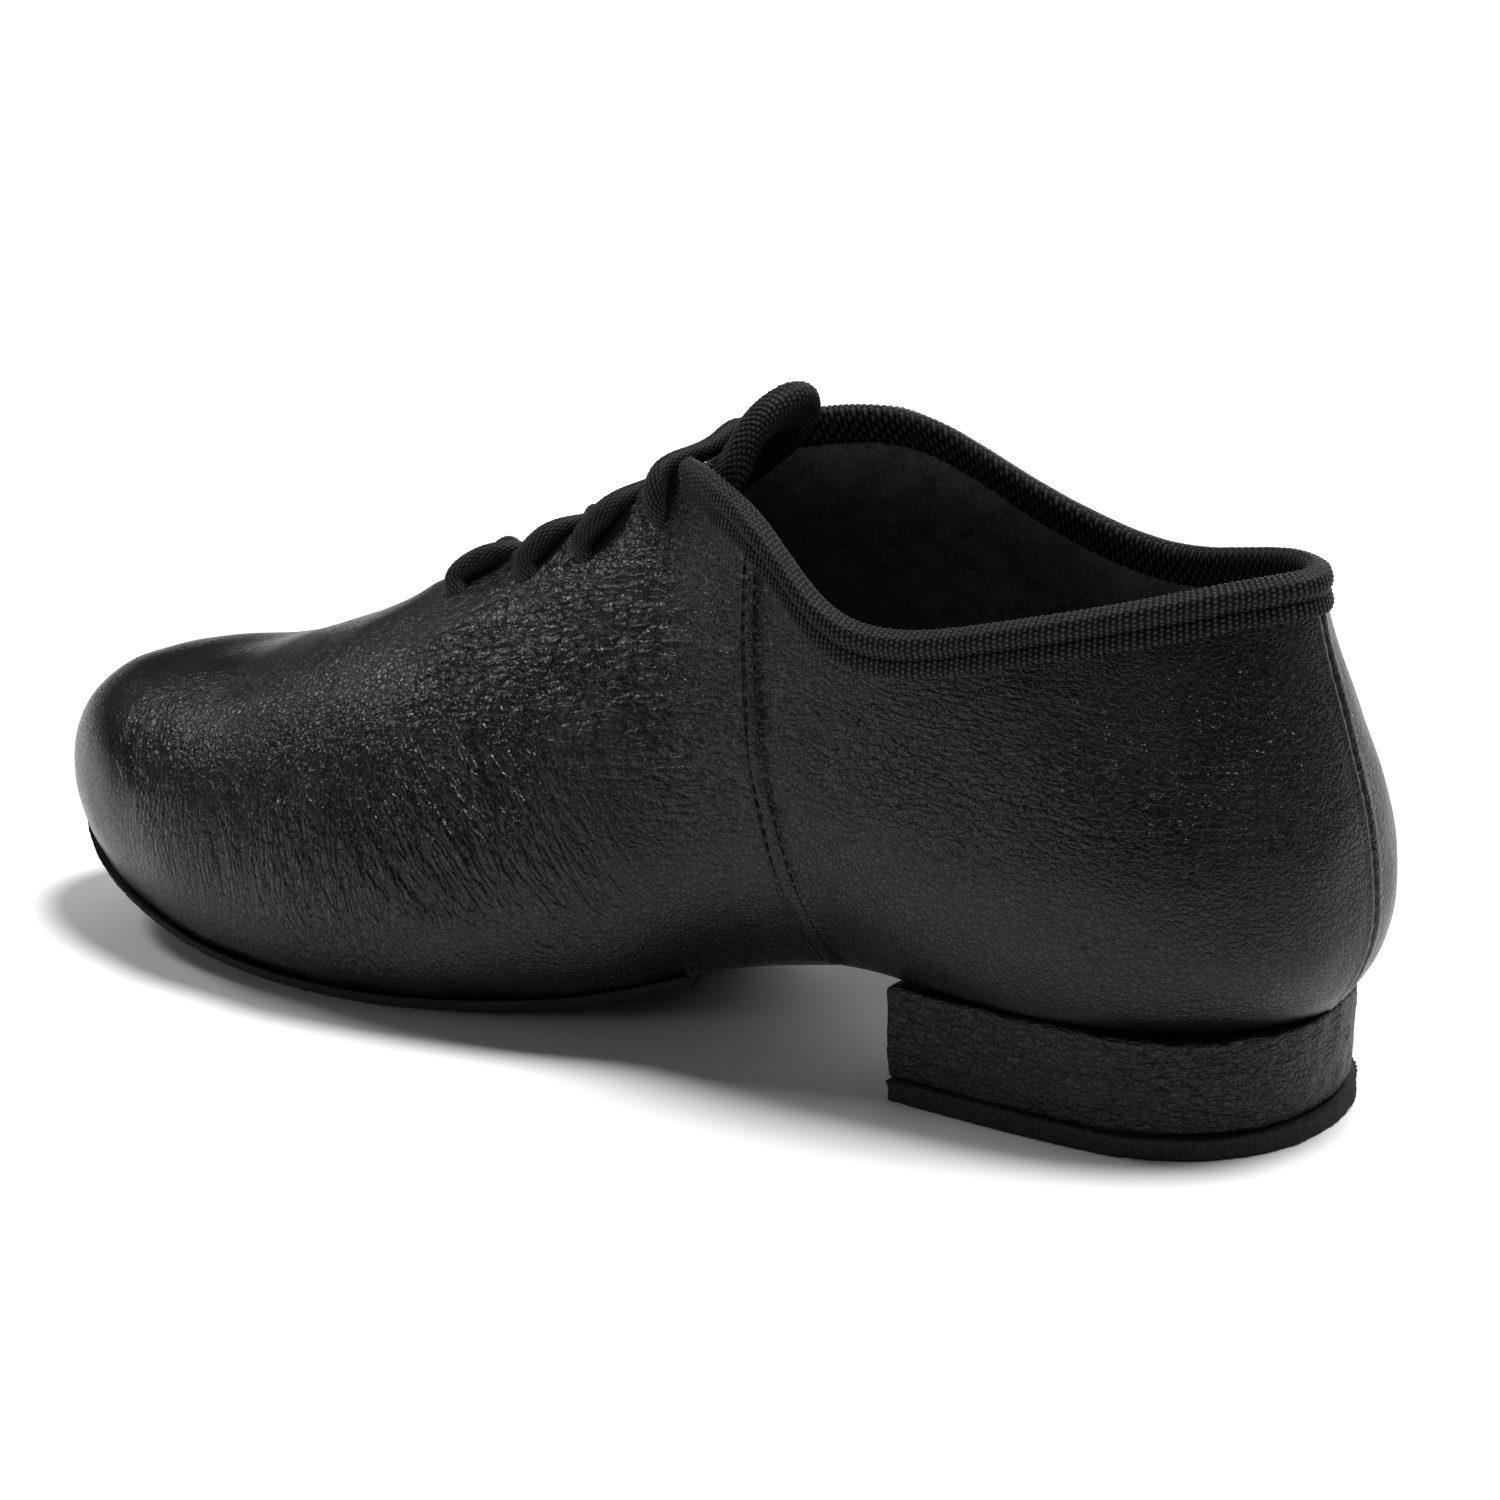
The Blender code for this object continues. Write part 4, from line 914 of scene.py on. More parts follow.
def make_upper(leather, lining):
    """Vamp, quarters, waist, facing edges and lining, all on the skin."""
    base, normals = smooth_ridge(SKIN.ribs[:, ::ROW_STEP])
    relief = crease_relief(base) + seam_relief(base) + hole_relief(base)
    relief += sum(soft_waves(base, seed, size) * high for seed, size, high in UPPER_WAVES)
    walls = base + normals * relief[..., None]
    under = under_rows()
    points = np.concatenate([under, walls], axis=1)
    rows = points.shape[1]
    up = chord_lengths(points)
    masks = wrinkle_masks(points)
    rise = smooth_step(*RELIEF_FADE, up - up[:, under.shape[1], None])
    masks = {mask: values * rise for mask, values in masks.items()}
    masks["still"] = 1 - rise
    quads = grid_faces(len(points), rows, closed=True)
    rib = quads // rows
    key = np.minimum(SKIN.all_keys[rib[:, 0]], SKIN.all_keys[rib[:, 1]])
    seam = ROWS.index("side seam")
    outside = points.mean((0, 1))
    for name, chosen in (("upper_vamp", key >= seam - 1e-6), ("upper_quarters", key < seam - 1e-6)):
        used, faces = np.unique(quads[chosen], return_inverse=True)
        piece = mesh_piece(name, points.reshape(-1, 3)[used], faces.reshape(-1, 4), leather)
        for mask, values in masks.items():
            add_values(piece, mask, values.reshape(-1)[used])
        weld(piece, outside)
        keep(piece, "upper", "upper")
    make_waist(under, leather)
    make_facing_edges(walls[:, -1], leather)
    make_lining(base, normals, lining)


def weld(piece, inside_point):
    """Join points that coincide and turn the faces away from the point inside."""
    work = bmesh.new()
    work.from_mesh(piece.data)
    bmesh.ops.remove_doubles(work, verts=work.verts, dist=2e-6)
    bmesh.ops.recalc_face_normals(work, faces=work.faces)
    inside = Vector(inside_point)
    facing = [face.normal.dot(face.calc_center_median() - inside) * face.calc_area() for face in work.faces]
    if sum(facing) < 0:
        bmesh.ops.reverse_faces(work, faces=work.faces)
    work.to_mesh(piece.data)
    work.free()


def make_waist(under, leather):
    """The leather that closes the waist between the sole and the heel, with its middle seam."""
    first = SKIN.index(ROWS.index("breast") - 0.7)
    last = SKIN.index(ROWS.index("collar front") + 0.9)
    lines = []
    across = np.linspace(0, 1, 41)[:, None]
    middle = np.abs(across[:, 0] - 0.5)
    seam, gather = bell(middle, 0.03), bell(middle, 0.10)
    for i in range(first, last + 1):
        line = under[i, 0] * (1 - across) + under[-i % SKIN.count, 0] * across
        line[:, 2] += WAIST_LIFT + WAIST_SEAM * seam + WAIST_GATHER * np.sin(i * 0.55) * gather
        lines.append(line)
    grid = np.array(lines)
    piece = grid_piece("upper_waist", grid, leather)
    for mask, values in wrinkle_masks(grid).items():
        add_values(piece, mask, values.reshape(-1))
    weld(piece, grid.mean((0, 1)) + np.array([0.0, 0.0, 0.02]))
    keep(piece, "upper")


def make_facing_edges(tops, leather):
    """The cut edge of the leather down both facings and round the throat's end."""
    throat = ROWS.index("throat end")
    corner = ROWS.index("collar front")
    first, last = SKIN.index(corner), SKIN.index(throat)
    order = list(range(first, last + 1)) + [-i % SKIN.count for i in range(last - 1, first - 1, -1)]
    lines = []
    for i in order:
        top, low = tops[i], SKIN.at(i, 0.0, -WALL)
        rise = unit(SKIN.ribs[i, -1] - SKIN.ribs[i, -8])
        inward = low - top
        lines.append([top, top + inward * 0.12 + rise * 0.00016, top + inward * 0.5 + rise * 0.00022,
                      top + inward * 0.88 + rise * 0.00016, low])
    grid = np.array(lines)
    keep(grid_piece("upper_facing_edges", grid, leather), "upper")


def make_lining(base, normals, lining):
    """Inner face of the upper, turned in over the insole's edge."""
    picks = list(range(0, SKIN.count, 2))
    rows = list(range(0, base.shape[1], 5))
    inner = base[picks][:, rows] - normals[picks][:, rows] * WALL
    low = base[picks][:, 0]
    out = outward(SKIN.ribs[:, 0])[picks]
    under = np.stack([low - out * inset for inset in (0.009, 0.004)], axis=1)
    under[:, :, 2] = low[:, 2][:, None] + WALL
    grid = np.concatenate([under, inner], axis=1)
    piece = grid_piece("upper_lining", grid, lining, closed=True)
    weld(piece, grid.mean((0, 1)))
    piece.data.flip_normals()
    keep(piece, "upper")


def resample(line, count):
    """The same smooth line through count points, evenly spaced."""
    arc = chord_lengths(line)
    where = np.linspace(0, arc[-1], count)
    return spline(arc, line, where)


def tape_profile(height, wall, clear, outside, inside):
    """Section of the folded tape as (down, lift) points: up the outside, over the edge, down the inside.
    The part that shows has outside steps, the part inside the shoe has inside steps."""
    out = clear
    deep = -wall - clear
    roll = TAPE_THICKNESS + TAPE_ROLL
    thick = TAPE_THICKNESS
    low = height * GROOVE
    line = np.array([
        (height, out - 0.0001), (height * 0.985, out + thick * 0.75), (height * 0.93, out + thick),
        (height * 0.75, out + thick), (low + 0.0005, out + thick * 0.92), (low + 0.0001, out + thick * 0.45),
        (low - 0.0005, out + thick * 1.1), (low * 0.62, out + roll * 0.96), (low * 0.3, out + roll),
        (-0.0004, out + roll * 0.86), (-clear - roll * 0.72, out - 0.0001), (-clear - roll, -wall / 2),
        (-clear - roll * 0.72, deep + 0.0001), (-0.0004, deep - thick), (height * 0.3, deep - thick),
        (height * 0.84, deep - thick * 0.9), (height * 0.86, deep)])
    arc = chord_lengths(line)
    fold = arc[12]
    where = np.concatenate([np.linspace(0, fold, outside), np.linspace(fold, arc[-1], inside + 1)[1:]])
    return read_line(where, arc, line)


def ribbed_tape(name, place, length, profile, seed, material):
    """Sweep the tape's section along its edge. place(s, down, lift) gives a point; ribs run across the tape,
    each broken into the beads of its weave."""
    count = int(length / RIB_PITCH) * RIB_STEPS + 1
    rng = np.random.default_rng(seed)
    phases = rng.uniform(0, 2 * math.pi, 6)
    along = np.linspace(0, length, count)
    wave = sum(np.sin(along * 2 * math.pi / period + phase) for period, phase in zip(
        (0.011, 0.017, 0.027, 0.041, 0.007, 0.063), phases)) / 6
    drift = np.cumsum(1 + 0.10 * np.sin(along * 2 * math.pi / 0.013 + phases[0]))
    drift = drift / drift[-1] * (length / RIB_PITCH)
    arc = chord_lengths(profile)
    middle = (profile[0, 1] + profile[-1, 1]) / 2
    normal = np.gradient(profile, axis=0)
    normal = unit(np.stack([-normal[:, 1], normal[:, 0]], axis=1))
    if np.sum(normal * (profile - profile.mean(0))) < 0:
        normal = -normal
    points, crests = [], []
    for s, bend, turn in zip(along, wave, drift):
        rib = np.abs(np.sin(math.pi * turn)) ** 0.75
        shift = 0.5 * (math.floor(turn) % 2)
        bead = np.abs(np.sin(math.pi * (arc / BEAD + shift))) ** 0.8
        end = math.sqrt(min(1.0, max(min(s, length - s), 0.0) / 0.0012))
        crest = rib * (0.15 + 0.85 * bead)
        crests.append(crest)
        swell = crest * RIB_RAISE - RIB_SINK
        for (down, lift), (side_down, side_lift), high in zip(profile, normal, swell):
            low = down * (1 + 0.045 * bend) if down > 0 else down
            body = lift * end + (1 - end) * middle
            points.append(place(s, low + side_down * high, body + 0.00012 * bend + side_lift * high))
    grid = np.array(points).reshape(count, len(profile), 3)
    piece = grid_piece(name, grid, material)
    # The crests also set the tape's painted shade between the beads and painted highlight on them
    add_values(piece, "crest", np.array(crests).reshape(-1))
    weld(piece, grid.mean((0, 1)) - np.array([0.0, 0.0, 0.002]))
    return piece


def tape_stitches(name, place, length, height, clear, material):
    """The row of machine stitches that lies in the tape's groove."""
    down, lift = height * GROOVE, clear + TAPE_THREAD
    steps = []
    for n in range(int(length / TAPE_STITCH_PITCH)):
        middle = (n + 0.5) * TAPE_STITCH_PITCH
        steps.append([place(middle + half, down, lift) for half in (-TAPE_STITCH / 2, TAPE_STITCH / 2)])
    return stitch_mesh(name, steps, TAPE_THREAD, material)


def stitch_mesh(name, steps, thick, material):
    """Small thread bodies from point to point, thick in the middle."""
    points, faces = [], []
    sides, levels = 6, ((0.0, 0.35), (0.12, 0.8), (0.5, 1.0), (0.88, 0.8), (1.0, 0.35))
    for start, end in steps:
        way = unit(end - start)
        one = unit(np.cross(way, np.array([0.31, 0.17, 0.93])))
        two = np.cross(way, one)
        base = len(points)
        for share, size in levels:
            for k in range(sides):
                angle = 2 * math.pi * k / sides
                radius = thick / 2 * size
                ring = (one * math.cos(angle) + two * math.sin(angle)) * radius
                points.append(start + (end - start) * share + ring)
        for level in range(len(levels) - 1):
            for k in range(sides):
                a, b = base + level * sides + k, base + level * sides + (k + 1) % sides
                faces.append((a, b, b + sides, a + sides))
        faces.append(tuple(base + k for k in reversed(range(sides))))
        faces.append(tuple(base + (len(levels) - 1) * sides + k for k in range(sides)))
    return mesh_piece(name, points, faces, material)


def collar_track():
    """The collar's edge as fractional ribs and the length along it, inner corner to outer corner."""
    corner = SKIN.index(ROWS.index("collar front"))
    ribs = np.arange(corner, -corner - 1, -1)
    tops = SKIN.ribs[ribs % SKIN.count, -1]
    return ribs, chord_lengths(tops)


def make_collar_binding(tape, thread):
    """The ribbed tape over the collar's edge, with the stitches that hold it."""
    ribs, arc = collar_track()
    seams = [SKIN.index(ROWS.index("side seam"), outer) % SKIN.count for outer in (False, True)]

    def place(s, down, lift):
        rib = float(np.interp(s, arc, ribs))
        near = min(abs((rib % SKIN.count) - seam) for seam in seams)
        raised = SEAM_RAISE * max(0.0, 1 - near / SEAM_RIBS) if lift > 0 else 0.0
        return SKIN.between(rib, down, lift + raised)

    profile = tape_profile(COLLAR_TAPE_HEIGHT, WALL, TAPE_GAP, 38, 12)
    keep(ribbed_tape("collar_tape", place, arc[-1], profile, 3, tape), "collar_binding", "collar_binding")
    stitches = tape_stitches("collar_stitches", place, arc[-1], COLLAR_TAPE_HEIGHT, TAPE_GAP, thread)
    keep(stitches, "collar_binding")


def tongue_lines():
    """Lines across the tongue's top face as in the solids, from under the vamp to its free end."""
    throat, corner = ROWS.index("throat end"), ROWS.index("collar front")
    keys = [key for key in SOLID_KEYS if corner - 1e-6 <= key]
    first = min(range(len(keys)), key=lambda n: abs(keys[n] - throat - 0.5))
    ribs = [SKIN.index(key) for key in keys[:first + 1]][::-1]
    lines = []
    for n, rib in enumerate(ribs):
        progress = n / (len(ribs) - 1)
        lift = -(WALL + GAP) - progress * TONGUE_DROP
        lap = TONGUE_LAP * (1 - 0.45 * progress ** 2)
        downs = np.linspace(lap, 0, 5)
        inner = [SKIN.at(rib, down, lift) for down in downs]
        outer = [SKIN.at(-rib, down, lift) for down in downs]
        line = np.array(inner + outer[::-1])
        arc = chord_lengths(line)
        line = read_line(np.linspace(0, arc[-1], TONGUE_COLUMNS), arc, line)
        for _ in range(int(round(5 * progress))):
            line = np.vstack([line[:1], (line[:-2] + 2 * line[1:-1] + line[2:]) / 4, line[-1:]])
        lines.append(line)
    last = lines[-1]
    across = np.linspace(-1, 1, len(last))
    heading = unit(last.mean(0) - lines[-3].mean(0))
    upright = unit(heading + np.array([0.0, 0.0, 0.35]))
    crown = (1 - across ** 2)[:, None] * np.array([0.0, 0.0, TONGUE_CROWN])
    for step in (1, 2, 3, 4):
        share = step / 4
        reach = TONGUE_RISE * share * np.sqrt(1 - 0.5 * across ** 2)[:, None]
        turned = unit(heading * (1 - share / 2) + upright * share / 2)
        lines.append(last + reach * turned + crown * share)
    return np.array(lines)


def make_tongue(leather, tape, thread):
    """The tongue's leather, with its tape and stitches over the free end."""
    lines = tongue_lines()
    fine = np.array([resample(line, 49) for line in lines])
    columns = np.array([resample(fine[:, k], 110) for k in range(fine.shape[1])])
    normals = unit(np.cross(np.gradient(columns, axis=0), np.gradient(columns, axis=1)))
    if normals[..., 2].mean() < 0:
        normals = -normals
    relief = soft_waves(columns, 21, 0.014) * 0.00016
    top = columns + normals * relief[..., None]
    low = columns - normals * TONGUE_THICKNESS
    sheet = np.concatenate([top, low[::-1]], axis=0)
    piece = grid_piece("tongue_leather", sheet, leather, closed=True)
    for mask, values in wrinkle_masks(sheet).items():
        add_values(piece, mask, values.reshape(-1) * (1.0 if mask == "net" else 0.0))
    weld(piece, sheet.mean((0, 1)))
    keep(piece, "tongue", "tongue")

    ends = columns[:, ::-1]
    end_normals = normals[:, ::-1]
    edge = ends[:, 0]
    arc_edge = chord_lengths(edge)
    arcs = [chord_lengths(line) for line in ends]

    def column_place(k, down, lift):
        line, arc = ends[k], arcs[k]
        where = max(down, 0.0)
        point = read_line(where, arc, line)
        normal = unit(read_line(where, arc, end_normals[k]))
        beyond = unit(line[0] - line[3]) * max(-down, 0.0)
        return point + beyond + normal * lift

    head = unit(edge[0] - edge[6])

    def place(s, down, lift):
        s = s - TONGUE_TAPE_TAIL
        k = float(np.interp(s, arc_edge, np.arange(len(ends))))
        low_k = min(int(k), len(ends) - 2)
        part = k - low_k
        point = column_place(low_k, down, lift) * (1 - part) + column_place(low_k + 1, down, lift) * part
        past = max(-s, 0.0)
        return point + head * past - np.array([0.0, 0.0, 40.0 * past ** 2])

    length = TONGUE_TAPE_TAIL + arc_edge[-3]
    profile = tape_profile(TONGUE_TAPE_HEIGHT, TONGUE_THICKNESS, 2 * TAPE_GAP, 44, 22)
    keep(ribbed_tape("tongue_tape", place, length, profile, 8, tape), "tongue_binding", "tongue_binding")
    stitches = tape_stitches("tongue_stitches", place, length, TONGUE_TAPE_HEIGHT, 2 * TAPE_GAP, thread)
    keep(stitches, "tongue_binding")


def cord_piece(name, route, squash, seed, material):
    """A round braided cord along a route; squash gives its flattening there, from 1 for round."""
    rough_arc = chord_lengths(route)
    count = max(int(rough_arc[-1] / CORD_STEP), 8)
    where = np.linspace(0, rough_arc[-1], count)
    line = spline(rough_arc, route, where)
    flat = np.interp(where, rough_arc, squash)
    way = unit(np.gradient(line, axis=0))
    side = np.zeros_like(line)
    side[0] = unit(np.cross(way[0], np.array([0.0, 0.0, 1.0])))
    for k in range(1, count):
        side[k] = unit(side[k - 1] - way[k] * (side[k - 1] @ way[k]))
    up = np.cross(side, way)
    angle = np.linspace(0, 2 * math.pi, CORD_AROUND, endpoint=False)[None]
    s = where[:, None]
    twist = 0.5 * np.sin(s / 0.021 + seed)
    a = angle * BRAID_ROUND / (2 * math.pi) + s / BRAID_PITCH + twist
    b = angle * BRAID_ROUND / (2 * math.pi) - s / BRAID_PITCH + twist
    over = (np.floor(a) + np.floor(b)) % 2 < 0.5
    fa, fb = a - np.floor(a), b - np.floor(b)
    sa, sb = np.sin(math.pi * fa), np.sin(math.pi * fb)
    strand = np.where(over, sa ** 0.6 * (0.55 + 0.45 * sb), sb ** 0.6 * (0.55 + 0.45 * sa))
    radius = LACE_DIAMETER / 2 + BRAID_RAISE * (strand - 0.6)
    radius = radius + 0.00010 * np.sin(s / 0.006 + 2 * seed + angle * 2)
    ring = side[:, None] * (np.cos(angle) * radius)[..., None]
    ring = ring + up[:, None] * (np.sin(angle) * radius * flat[:, None])[..., None]
    points = line[:, None] + ring
    piece = loop_solid(name, points, material)
    # The crests also set the cord's painted shade between the strands and painted highlight on them
    add_values(piece, "crest", np.clip(strand, 0, 1).reshape(-1))
    return piece


def loop_solid(name, loops, material):
    """A closed body: quads from loop to loop, and a cap on the first and the last."""
    rows, around = loops.shape[:2]
    here = np.arange(rows * around).reshape(rows, around)
    there = np.roll(here, -1, 1)
    quads = np.stack([here[:-1], there[:-1], there[1:], here[1:]], axis=-1).reshape(-1, 4)
    faces = [tuple(face) for face in quads] + [tuple(here[0]), tuple(here[-1][::-1])]
    return face_out(mesh_piece(name, loops.reshape(-1, 3), faces, material))


def make_laces(cord):
    """Each strand comes up through its hole, runs over its own facing's edge to the other side, and goes
    down under that facing towards the next hole."""
    clear = LACE_DIAMETER / 2
    keys = [ROWS.index(row) + share for row, share in LACE_HOLES]
    for n in range(len(keys)):
        is_top = n == len(keys) - 1
        for outer in (False,) if is_top else (False, True):
            end = keys[n] - 0.25 if is_top else keys[n + 1]
            step = (end - keys[n]) / 3
            over = -0.0005 if outer else 0.0006
            start, start_far = SKIN.index(keys[n], outer), SKIN.index(keys[n], not outer)
            first = SKIN.index(keys[n] + step * 0.35, outer)
            edge = SKIN.index(keys[n] + step, outer)
            far_edge = SKIN.index(end - step, not outer)
            under = SKIN.index(end - step * 0.4, not outer)
            inside = SKIN.index(end, not outer)
            points = [
                SKIN.at(start, HOLE_SETBACK + 0.0032, -WALL - 0.0026),
                SKIN.at(start, HOLE_SETBACK + 0.0010, -0.0014),
                SKIN.at(start, HOLE_SETBACK - 0.0012, clear * 0.50),
                SKIN.at(first, HOLE_SETBACK * 0.45, clear * 0.92), SKIN.at(edge, 0.0, clear * 0.85)]
            last = [SKIN.at(far_edge, -0.0008, -WALL - 0.0004), SKIN.at(under, 0.0030, -WALL - clear * 0.55),
                    SKIN.at(inside, 0.0062, -WALL - clear * 0.55)]
            if is_top:
                last = [SKIN.at(far_edge, 0.0004, clear * 0.85),
                        SKIN.at(under, HOLE_SETBACK * 0.6, clear * 0.75),
                        SKIN.at(start_far, HOLE_SETBACK, -WALL)]
            span = last[0] - points[-1]
            points.append(points[-1] + span * 0.34 + np.array([0.0, 0.0, over]))
            points.append(points[-2] + span * 0.70 + np.array([0.0, 0.0, over * 0.6]))
            points += last
            squash = [1, 1, 1, 1, 0.95, 0.85, 0.85] + ([0.95, 1, 1] if is_top else [0.8, 0.45, 0.4])
            name = f"lace_strand_{n + 1}_{'outer' if outer else 'inner'}"
            piece = cord_piece(name, np.array(points), squash, n * 2 + outer, cord)
            keep(piece, "lace", "lace")


def plan_ring(inset, rise, grow=0.0):
    """A ring under the foot: the feather line moved in, its height eased down to the underside's."""
    foot = SKIN.ribs[:, 0]
    out = outward(foot)
    under = underside_heights(SKIN.keys)
    ring = foot - out * (inset - grow)
    share = np.clip(inset / ROUND_IN, 0, 1)
    ring[:, 2] = foot[:, 2] * (1 - share) + under * share + rise
    return ring


def sole_lines(rings, first):
    """Lines across the plate from its inner to its outer edge, one for each rib from first to the tip."""
    lines = []
    across = np.linspace(0, 1, 33)[1:-1, None]
    for i in range(first, SIDE):
        other = -i % SKIN.count
        inner = [ring[i] for ring in rings]
        outer = [ring[other] for ring in rings[::-1]]
        middle = inner[-1] * (1 - across) + outer[0] * across
        lines.append(np.vstack([inner, middle, outer]))
    return np.array(lines)


# The pad's edge: share of the way down and how far it bulges
SOLE_BULGES = [(0.12, 0.00022), (0.35, 0.00030), (0.65, 0.00024), (0.90, 0.00008)]


def make_outsole(suede):
    """The forefoot pad: a thick split-leather plate with a slightly ragged edge."""
    first = SKIN.index(ROWS.index("collar front") + 0.3333)
    top_rings = [plan_ring(0.0, -GAP, SOLE_EDGE), plan_ring(ROUND_IN, -GAP), plan_ring(MARGIN, -GAP)]
    low_rings = [plan_ring(0.0, -GAP - SOLE_THICKNESS, SOLE_EDGE - SOLE_UNDERCUT),
                 plan_ring(0.0012, -GAP - SOLE_THICKNESS, SOLE_EDGE - SOLE_UNDERCUT),
                 plan_ring(ROUND_IN, -GAP - SOLE_THICKNESS), plan_ring(MARGIN, -GAP - SOLE_THICKNESS)]
    out = outward(SKIN.ribs[:, 0])
    walls = [top_rings[0] * (1 - share) + low_rings[0] * share + out * bulge for share, bulge in SOLE_BULGES]

    def ragged(points, seed, size):
        return soft_waves(points, seed, 0.0016, 40) * size + soft_waves(points, seed + 1, 0.0045, 20) * size

    top = sole_lines(top_rings, first)
    low = sole_lines(low_rings, first)
    low[..., 2] = np.maximum(low[..., 2] + soft_waves(low, 31, 0.0035) * 0.00004, 0.0)
    others = [-i % SKIN.count for i in range(first, SIDE)]
    edges = [top[:, 0]] + [wall[first:SIDE] for wall in walls] + [low[:, 0]]
    edges_outer = [top[:, -1]] + [wall[others] for wall in walls] + [low[:, -1]]
    rim = np.array([np.vstack([one, two[-2::-1]]) for one, two in zip(edges, edges_outer)])
    outs = unit(np.gradient(rim[0], axis=0))
    outs = np.stack([-outs[:, 1], outs[:, 0], np.zeros(len(outs))], axis=1)
    if np.sum(outs * (rim[0] - rim[0].mean(0))) < 0:
        outs = -outs
    for level in range(1, len(rim) - 1):
        rim[level] += outs * ragged(rim[level], 33 + level, 0.00005)[:, None]
    share = np.linspace(0, 1, 5)[:, None, None]
    back = resample(top[0], 60)[None] * (1 - share) + resample(low[0], 60)[None] * share
    back[1:-1, :, 0] += ragged(back[1:-1], 44, 0.00006)
    points, faces, base = [], [], 0
    for sheet in (top, low, rim, back):
        points.append(sheet.reshape(-1, 3))
        faces += [tuple(face + base) for face in grid_faces(*sheet.shape[:2])]
        base += len(points[-1])
    piece = mesh_piece("sole_pad", np.vstack(points), faces, suede)
    weld(piece, top.mean((0, 1)))
    keep(piece, "forefoot_outsole", "forefoot_outsole")


def heel_outline(length, widest, breast, steps=70):
    """D outline round the origin: slightly curved sides from the breast, then half an ellipse."""
    front, back = length / 2, -length / 2
    turn = back + 0.42 * length
    side = []
    for k in range(steps + 1):
        share = k / steps
        y = breast / 2 + (widest - breast) / 2 * math.sin(share * math.pi / 2)
        side.append((front + (turn - front) * share, y))
    for k in range(1, steps + 1):
        angle = math.pi / 2 * k / steps
        side.append((turn - (turn - back) * math.sin(angle), widest / 2 * max(math.cos(angle), 0.0) ** 0.9))
    face = [(front, y) for y in np.linspace(-breast / 2, breast / 2, 49)[1:-1]]
    return np.array(side + [(x, -y) for x, y in side[-2::-1]] + face)


def heel_loop(height, inset, shift):
    """The heel's outline at a height, moved in by inset and along by shift."""
    flat = heel_outline(HEEL_LENGTH - 2 * inset, HEEL_WIDTH - 2 * inset, BREAST_WIDTH - 2 * inset)
    return np.column_stack([flat[:, 0] + shift, flat[:, 1], np.full(len(flat), height)])


def sideways(loops):
    """Level directions from the middle of each loop to its points."""
    way = loops - loops.mean(1, keepdims=True)
    way[..., 2] = 0.0
    return unit(way)


def make_heel(leather, rubber):
    """The covered block, its cover's edge turned over at the top, and the rubber lift with a ragged rim."""
    top = SEAT_HEIGHT - UNDER_DROP - GAP
    low = LIFT_THICKNESS + GAP
    taper = HEEL_TAPER / 2
    levels = [(low, taper + 0.0006, taper), (low + 0.0002, taper + 0.0002, taper),
              (low + 0.0007, taper, taper)]
    for share in np.linspace(0.05, 0.93, 26):
        narrow = taper * (1 - share)
        levels.append((low + (top - low) * share, narrow - 0.0002 * math.sin(math.pi * share), narrow))
    levels += [(top - 0.0009, -0.00005, 0.0), (top - 0.0004, 0.00005, 0.0), (top - 0.0001, 0.0004, 0.0),
               (top, 0.0009, 0.0)]
    block = np.array([heel_loop(*level) for level in levels])
    flutter = soft_waves(block, 51, 0.0060) * 0.00007
    flutter += soft_waves(block * np.array([1, 1, 4]), 52, 0.0040) * 0.00004
    block += sideways(block) * flutter[..., None]
    block[-4:, :, 2] += soft_waves(block[-1], 53, 0.004)[None] * 0.00012
    keep(loop_solid("heel_cover", block, leather), "heel_block", "heel_block")
    edge = taper - LIFT_EDGE
    heights = [(0.0, 0.0004), (0.0003, 0.0001), (0.0010, 0.0), (0.0022, 0.0002), (0.0032, 0.0001),
               (0.0037, -0.0002), (LIFT_THICKNESS, 0.0001)]
    lift = np.array([heel_loop(height, edge + inset, edge) for height, inset in heights])
    ragged = soft_waves(lift, 61, 0.0011, 40) * 0.00009 + soft_waves(lift, 62, 0.005) * 0.00008
    lift += sideways(lift) * (ragged * np.array([0.6, 1, 1, 0.8, 1, 1.6, 1.0])[:, None])[..., None]
    lift[5:, :, 2] += soft_waves(lift[5], 63, 0.0013, 40)[None] * 0.00010
    lift[0, :, 2] = 0.0
    keep(loop_solid("heel_lift", lift, rubber), "heel_top_lift", "heel_top_lift")


def make_insole(board):
    """The board inside, with its upper edge rounded; rings are inset and height."""
    rings = [(INSOLE_INSET + 0.0006, 0.0), (INSOLE_INSET, INSOLE_THICKNESS * 0.4),
             (INSOLE_INSET + 0.0003, INSOLE_THICKNESS * 0.8), (INSOLE_INSET + 0.0012, INSOLE_THICKNESS),
             (MARGIN, INSOLE_THICKNESS)]
    rise = WALL + 3 * GAP
    grid = sole_lines([plan_ring(inset, rise + high) for inset, high in rings], 0)
    grid[..., 2] += soft_waves(grid, 71, 0.05) * 0.0001
    piece = grid_piece("insole_board", grid, board)
    weld(piece, grid.mean((0, 1)) - np.array([0.0, 0.0, 0.05]))
    keep(piece, "insole", "insole")


def stitch_row(rib, pitch, long, aside):
    """Both ends of every stitch down a rib, from below the collar's tape; aside moves each off the rib."""
    base = SKIN.ribs[rib, ::ROW_STEP]
    arc = chord_lengths(base[::-1])[::-1]
    steps = []
    for n in range(int(arc[0] / pitch)):
        middle = (n + 0.5) * pitch
        if middle < COLLAR_TAPE_HEIGHT:
            continue
        ends = []
        for down in (middle - long / 2, middle + long / 2):
            row = np.interp(-down, -arc, np.arange(len(arc)))
            low = int(min(row, len(arc) - 2))
            part = row - low
            ends.append(base[low] * (1 - part) + base[low + 1] * part + aside[low])
        steps.append(tuple(ends))
    return steps


